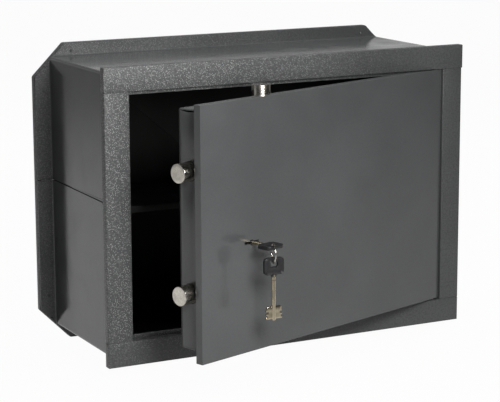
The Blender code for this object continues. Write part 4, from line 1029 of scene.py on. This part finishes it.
class BuildBackCover(bpy.types.Operator):
    """Builds the door's back cover and the four cross-recessed screws that hold it"""

    bl_idname = "safe.build_back_cover"
    bl_label = "Back cover"

    def execute(self, context):
        low, high = door_corners("door_back_cover")
        holes, screws = [], {}
        for name in ("lower_left", "lower_right", "upper_left", "upper_right"):
            screw_low, screw_high = door_corners(f"cover_screw_{name}")
            x, _, z = (screw_low + screw_high) / 2
            holes.append(circle(x, z, radius=0.0023, steps=24))
            screws[name] = (x, screw_high[1] - SCREW_CROWN, z)
        outline = rounded(rectangle(low[0], low[2], high[0], high[2]), radius=0.0015, steps=4)
        made = slab(outline, holes, low[1], high[1], edge=0.0004)
        add_piece("back_cover", on_door(made), "door", "dark_sheet", ["door_back_cover"])
        screw = cross_screw(head=0.0038, height=SCREW_CROWN, shank=0.002, length=0.008)
        for name, place in screws.items():
            made = on_door(moved(screw, place, AXIS_Y))
            add_piece(f"cross_screw_{name}", made, "door", "zinc_plate", [f"cover_screw_{name}"])
        return {"FINISHED"}


def cross_screw(head, height, shank, length):
    """A pan-head screw: its crown is a low ellipse over the head's radius, with a cross pressed
    into it, as a height on a grid of radius and angle. Its shank hangs below height zero."""
    steps = 64
    radius = np.concatenate([[ON_AXIS], np.linspace(0.08, 1, 16) * head])
    r, a = radius[:, None], around(steps)[None]
    crown = height * (0.45 + 0.55 * np.sqrt(np.clip(1 - (r / head) ** 2, 0, 1)))
    arm = np.minimum(np.abs(r * np.cos(a)), np.abs(r * np.sin(a)))
    depth = np.clip((0.00045 - arm) / 0.0002, 0, 1) * np.clip((0.62 * head - r) / 0.0004, 0, 1)
    top = circles(radius, crown - depth * height * 0.75, steps)
    point = 0.0006
    side = np.array([
        (head, 0), (shank, 0), (shank, -length + point), (shank - point, -length),
        (ON_AXIS, -length),
    ])
    return loft(np.concatenate([top, circles(side[:, 0], side[:, 1:], steps)]))


BOLT_SHARP = 28  # degrees, past which an edge of a bolt is drawn sharp


class BuildBolts(bpy.types.Operator):
    """Builds the two side bolts and the top bolt, turned, chamfered and plated"""

    bl_idname = "safe.build_bolts"
    bl_label = "Bolts"

    def execute(self, context):
        shape = context.scene.safe_shape
        for name in ("upper", "lower"):
            node = f"side_bolt_{name}"
            low, high = door_corners(node)
            profile = bolt_profile(high[0] - low[0], shape.bolt_chamfer)
            middle = (low + high) / 2
            made = moved(turned(profile, shape.round_steps), (low[0], *middle[1:]), AXIS_X)
            made = on_door(made)
            add_piece(f"{name}_bolt", made, "side_bolts", "nickel_plate", [node], BOLT_SHARP)
        low, high = door_corners("top_bolt")
        profile = bolt_profile(high[2] - low[2], shape.bolt_chamfer)
        middle = (low + high) / 2
        made = turned(profile * (1, -1), shape.round_steps)
        made = on_door(moved(made, (*middle[:2], high[2])))
        add_piece(
            "upward_bolt", made, "top_bolt_group", "nickel_plate", ["top_bolt"], BOLT_SHARP
        )
        return {"FINISHED"}


def bolt_profile(length, chamfer):
    """A bolt from its tip at height zero: a flat face with a shallow turned dish, a small rounded
    chamfer, a plain body and a chamfered tail."""
    radius, dish = BOLT_RADIUS, 0.00012
    turn = arc(0, 90, 4)
    nose = [radius - chamfer + chamfer * np.sin(turn), chamfer - chamfer * np.cos(turn)]
    face = [(ON_AXIS, dish), (radius * 0.3, dish * 0.9), (radius * 0.62, dish * 0.45)]
    tail = [
        (radius, length * 0.5), (radius, length - chamfer), (radius - chamfer, length),
        (ON_AXIS, length),
    ]
    return np.concatenate([face, np.stack(nose, axis=1), tail])


def key_placed(key, shape):
    """A hanging key's shape, x across and z down its length, moved to where that key is."""
    if key == "spare_key":
        low, high = corners("spare_key_bow")
        return moved(shape, (*((low + high) / 2)[:2], high[2]))
    low, high = door_corners("lock_key_bow")
    middle = (low + high) / 2
    x, y, z = shape[0].T
    points = np.stack([middle[0] + x, low[1] - z, middle[2] + y], axis=1)
    return on_door((points, shape[1]))


class BuildKeys(bpy.types.Operator):
    """Builds the key in the lock and the spare key: black bow, round shank, notched double bit"""

    bl_idname = "safe.build_keys"
    bl_label = "Keys"

    def execute(self, context):
        bow, blade = key_bow(), key_blade(context.scene.safe_shape.round_steps // 3)
        for key in ("lock_key", "spare_key"):
            made = key_placed(key, bow)
            add_piece(f"{key}_handle", made, key, "black_plastic", [f"{key}_bow"], sharp=50)
            made = key_placed(key, blade)
            add_piece(f"{key}_metal", made, key, "key_brass", [f"{key}_blade"], sharp=30)
        return {"FINISHED"}


BOW_WIDTH, BOW_LENGTH, BOW_THICKNESS = 0.0245, 0.0195, 0.0045
NOSE_LENGTH, NOSE_WIDE, NOSE_NARROW = 0.0022, 0.0080, 0.0060
HOLE_WIDTH, HOLE_LENGTH, HOLE_STRIP = 0.0088, 0.0060, 0.0045
KEY_LENGTH, SHANK_RADIUS = 0.0715, 0.00225
BIT_THICKNESS, BIT_TIP = 0.0024, 0.0017

# The bit's outline in millimetres: height above its end, then its reach to the right and left
BIT_STEPS = (
    (0, 10, 10), (2.1, 10, 10), (2.1, 8.4, 8.4), (4.3, 8.4, 8.4), (4.3, 10, 10), (6.3, 10, 10),
    (6.3, 7.0, 7.0), (8.5, 7.0, 7.0), (8.5, 9.6, 10), (10.5, 9.6, 10), (10.5, 9.2, 9.2),
    (12.7, 9.2, 9.2), (13.4, 9.2, 8.2), (14.6, 7.6, 7.0),
)


def key_bow():
    """The bow: one outline with its nose, an edge rounded all round, and a panel sunk into both
    faces inside a narrow rim, with a small raised chevron above the nose."""
    half, thick = BOW_WIDTH / 2, BOW_THICKNESS / 2
    outline = rounded(rectangle(-half, -BOW_LENGTH, half, 0), radius=0.0042, steps=8)
    top, wide = -HOLE_STRIP, HOLE_WIDTH / 2
    hole = rounded(rectangle(-wide, top - HOLE_LENGTH, wide, top), radius=0.0015, steps=5)
    rim = ((0.0011, 0.0), (0.0013, 0.00018))
    made = slab(outline, [hole], -thick, thick, edge=0.0007, rim=rim)
    low, high = -BOW_LENGTH - NOSE_LENGTH, -BOW_LENGTH + NOSE_LENGTH
    nose = rounded([
        (-NOSE_NARROW / 2, low), (NOSE_NARROW / 2, low), (NOSE_WIDE / 2, high),
        (-NOSE_WIDE / 2, high),
    ], radius=0.0006, steps=3)
    step = 0.0006
    nose = slab(nose, [], -thick + step, thick - step, edge=0.0005)
    chevrons = []
    for face in (-1, 1):
        y = face * (thick - 0.0001)
        for across in (-1, 1):
            start = (0, y, -BOW_LENGTH + 0.0006)
            end = (across * 0.0020, y, -BOW_LENGTH + 0.0028)
            chevrons.append(bead(start, end, width=0.0005, ripples=2))
    return gathered(made, nose, *chevrons)


def key_blade(steps):
    """The blade: a turned shank with a small collar, and a flat bit with stepped notches."""
    end = -BOW_LENGTH - NOSE_LENGTH
    r, groove = SHANK_RADIUS, 0.0003
    profile = np.array([
        (ON_AXIS, end + 0.007), (r - 0.0004, end + 0.007), (r - 0.0004, end - 0.0002),
        (r, end - 0.0004), (r, end - 0.0030), (r - groove, end - 0.0034),
        (r - groove, end - 0.0040), (r, end - 0.0044), (r, -KEY_LENGTH + 0.0006),
        (r - 0.0006, -KEY_LENGTH), (ON_AXIS, -KEY_LENGTH),
    ])
    height, right, left = np.array(BIT_STEPS).T / 1000
    height = -KEY_LENGTH + BIT_TIP + height
    up = np.stack([right, height], axis=1)
    down = np.stack([-left, height], axis=1)[::-1]
    half = BIT_THICKNESS / 2
    bit = slab(np.concatenate([up, down]), [], -half, half, edge=0.00025)
    return gathered(turned(profile, max(steps, 24)), bit)


RING_RADIUS, WIRE_RADIUS, WIRE_SHIFT = 0.0110, 0.00050, 0.00049
RING_START, RING_POINTS = 0.4, 193


class BuildKeyRing(bpy.types.Operator):
    """Builds the split ring as two turns of wire that lie side by side"""

    bl_idname = "safe.build_key_ring"
    bl_label = "Key ring"

    def execute(self, context):
        low, high = corners("key_ring")
        centre = (low + high) / 2
        # The ring's axis is the direction in which its points are spread least
        normal = np.linalg.svd(vertices("key_ring") - centre, full_matrices=False)[2][2]
        first = unit(np.cross(normal, (0, 0, 1.0)))
        second = np.cross(normal, first)
        angle = np.linspace(RING_START, RING_START + 4 * math.pi, RING_POINTS)[:, None]
        shift = np.clip(np.linspace(-2.2, 2.2, RING_POINTS), -1, 1) * WIRE_SHIFT
        round_it = np.cos(angle) * first + np.sin(angle) * second
        path = centre + RING_RADIUS * round_it + shift[:, None] * normal
        made = wire(path, WIRE_RADIUS, sides=14, side=normal)
        add_piece("split_ring", made, "ring", "nickel_plate", ["key_ring"])
        return {"FINISHED"}


# These hinge parts are painted over, and take the dark finish, darker than the body's paint as
# painted shade
PAINTED_OVER_AND_SHADED = ("hinge_washer", "hinge_pin_upper", "hinge_pin_lower")


class FinishCarriedParts(bpy.types.Operator):
    """Gives the nodes that stay as they are their detailed finishes"""

    bl_idname = "safe.finish_carried_parts"
    bl_label = "Other parts"

    def execute(self, context):
        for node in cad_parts.values():
            if node.hide_render:
                continue
            for place in node.material_slots:
                slot = place.material.name.split(".")[0]
                place.material = finish_for("dark_sheet" if node.name in PAINTED_OVER_AND_SHADED else slot)
        return {"FINISHED"}


class SetStage(bpy.types.Operator):
    """Sets the pale floor, the lamps, the world and the camera"""

    bl_idname = "safe.set_stage"
    bl_label = "Studio"

    def execute(self, context):
        scene = context.scene
        scene.view_settings.view_transform = "Standard"
        set_world(scene)
        set_floor(scene)
        set_lamps(scene.safe_studio)
        set_camera(scene)
        return {"FINISHED"}


# What gloss sees of the room and of the floor: smooth steps over where it looks, each with its two
# ends and what it gives at them
ROOM_BEHIND, ROOM_ABOVE = (-0.35, 0.75, 0.05, 0.85), (0.0, 0.35, 1.0, 0.30)
FLOOR_BEHIND, FLOOR_AWAY = (-1.3, -0.1, 0.12, 0.88), (0.7, 2.6, 1.0, 0.35)
FLOOR_WHITE = 0.97  # the rest of the floor that the camera sees is its own paper, for the shadow
FLOOR_GREY, FLOOR_HALF, FLOOR_GAP = 0.38, 30.0, 0.0004


def seen_white(nodes, kind, plain, gloss, share):
    """What a surface shows: itself to light, mostly white to rays from the camera or through
    glass, and the gloss strength of that white to rays off gloss."""
    path = nodes.node("ShaderNodeLightPath").outputs
    white, shaded = nodes.node(kind, {"Strength": 1.0}), nodes.node(kind, {"Strength": gloss})
    glow = nodes.either(path["Is Glossy Ray"], white.outputs[0], shaded.outputs[0])
    seen = path["Is Camera Ray"]
    for name in ("Is Glossy Ray", "Is Transmission Ray"):
        seen = nodes.join(seen, path[name], "MAXIMUM")
    return nodes.either(nodes.join(seen, share), plain, glow)


def set_world(scene):
    """An even dim room for light, seen as plain and pale by the camera and as shaded by gloss."""
    scene.world = bpy.data.worlds.new("studio")
    nodes = Nodes(scene.world)
    plain = nodes.tree.nodes["Background"]
    nodes.feed(plain.inputs["Color"], (1, 1, 1))
    nodes.feed(plain.inputs["Strength"], scene.safe_studio.room_light)
    where = nodes.node("ShaderNodeTexCoord").outputs["Generated"]
    behind = nodes.range(nodes.axis("Y", where), *ROOM_BEHIND)
    above = nodes.range(nodes.axis("Z", where), *ROOM_ABOVE)
    gloss = nodes.join(behind, above)
    shown = seen_white(nodes, "ShaderNodeBackground", plain.outputs[0], gloss, 1.0)
    nodes.feed(nodes.tree.nodes["World Output"].inputs["Surface"], shown)


def set_floor(scene):
    """A level square, large enough to fill the view, just below the safe's lowest point. The
    camera sees it nearly white with the safe's shadow, and gloss sees it fade towards the front."""
    level, half = CAD_BOX[0][2] - FLOOR_GAP, FLOOR_HALF
    points = [(x, y, level) for x, y in rectangle(-half, -half, half, half)]
    mesh = bpy.data.meshes.new("floor")
    mesh.from_pydata(points, [], [(0, 1, 2, 3)])
    floor = bpy.data.objects.new("floor", mesh)
    scene.collection.objects.link(floor)
    paper = Finish("floor_paper")
    paper.shade({"Base Color": (FLOOR_GREY,) * 3, "Roughness": 0.9, "Specular IOR Level": 0.0})
    behind = paper.range(paper.axis("Y", paper.where), *FLOOR_BEHIND)
    away = paper.node("ShaderNodeVectorMath", {0: paper.where}, operation="LENGTH")
    gloss = paper.join(behind, paper.range(away.outputs["Value"], *FLOOR_AWAY))
    plain = paper.shader.outputs[0]
    shown = seen_white(paper, "ShaderNodeEmission", plain, gloss, FLOOR_WHITE)
    paper.feed(paper.tree.nodes["Material Output"].inputs["Surface"], shown)
    mesh.materials.append(paper.made)


def lamp(title, power, size, place, target, shines=True):
    light = bpy.data.lights.new(title, "AREA")
    light.energy = power
    light.shape = "RECTANGLE"
    light.size, light.size_y = size
    made = bpy.data.objects.new(title, light)
    bpy.context.scene.collection.objects.link(made)
    made.location = place
    aim = Vector(target) - Vector(place)
    made.rotation_euler = aim.to_track_quat("-Z", "Y").to_euler()
    made.visible_camera = False
    made.visible_glossy = shines
    return made


def set_lamps(studio):
    """Each lamp's power, width and height, place and aim. Gloss shows the key lamp alone."""
    lamp("key_lamp", studio.key_light, (0.26, 0.26), (-0.17, -0.92, 0.34), (-0.12, -0.2, 0.02))
    lamp("top_lamp", studio.top_light, (0.9, 0.7), (0.10, -0.25, 1.35), (-0.05, -0.1, 0.1), False)
    lamp("back_lamp", studio.back_light, (1.2, 0.9), (-0.3, 1.7, 0.9), (0, 0, 0), False)
    lamp("right_lamp", studio.back_light, (0.9, 0.9), (1.7, 0.3, 0.7), (0, 0, 0), False)


CAMERA_PLACE, CAMERA_LENS = (-1.03027, -2.10729, 0.43378), 133.052
CAMERA_TURN = (0.47216, 0.19715, -0.00449)


def set_camera(scene):
    """The camera that the photograph's straight edges gave: it looks along yaw and pitch, and its
    upright is turned about that by roll."""
    yaw, pitch, roll = CAMERA_TURN
    ahead = Vector((
        math.sin(yaw) * math.cos(pitch), math.cos(yaw) * math.cos(pitch), -math.sin(pitch)
    ))
    right = Vector((math.cos(yaw), -math.sin(yaw), 0))
    up = right.cross(ahead)
    across = math.cos(roll) * right + math.sin(roll) * up
    upward = math.cos(roll) * up - math.sin(roll) * right
    data = bpy.data.cameras.new("camera")
    data.sensor_width = 36
    data.lens = CAMERA_LENS
    data.clip_end = 200
    camera = bpy.data.objects.new("camera", data)
    scene.collection.objects.link(camera)
    turn = Matrix((across, upward, -ahead)).transposed()
    camera.matrix_world = Matrix.Translation(CAMERA_PLACE) @ turn.to_4x4()
    scene.camera = camera


class SafePanel(bpy.types.Panel):
    """Lists the safe's pieces and their settings"""

    bl_idname = "VIEW3D_PT_wall_safe"
    bl_label = "Wall safe"
    bl_space_type = "VIEW_3D"
    bl_region_type = "UI"
    bl_category = "Wall safe"

    def draw(self, context):
        for operator in OPERATORS:
            self.layout.operator(operator.bl_idname)
        for settings in (
            context.scene.safe_shape,
            context.scene.safe_paint,
            context.scene.safe_metal,
            context.scene.safe_studio,
        ):
            column = self.layout.column()
            for name in settings.__annotations__:
                column.prop(settings, name)


GROUPS = {
    "safe_paint": SafePaint,
    "safe_metal": SafeMetal,
    "safe_shape": SafeShape,
    "safe_studio": SafeStudio,
}
OPERATORS = (
    SetStage,
    BuildFrameBars,
    BuildBodyShells,
    BuildTackWelds,
    BuildSeamStrips,
    BuildRearTray,
    BuildInnerStrips,
    BuildShelf,
    BuildDoorBox,
    BuildBackCover,
    BuildBolts,
    BuildKeys,
    BuildKeyRing,
    FinishCarriedParts,
)


def register():
    for group in (*GROUPS.values(), *OPERATORS, SafePanel):
        bpy.utils.register_class(group)
    for name, group in GROUPS.items():
        setattr(bpy.types.Scene, name, PointerProperty(type=group))


def unregister():
    for name in GROUPS:
        delattr(bpy.types.Scene, name)
    for group in (SafePanel, *reversed(OPERATORS), *GROUPS.values()):
        bpy.utils.unregister_class(group)


def main():
    register()
    for operator in OPERATORS:
        family, name = operator.bl_idname.split(".")
        getattr(getattr(bpy.ops, family), name)()


if __name__ == "__main__":
    main()
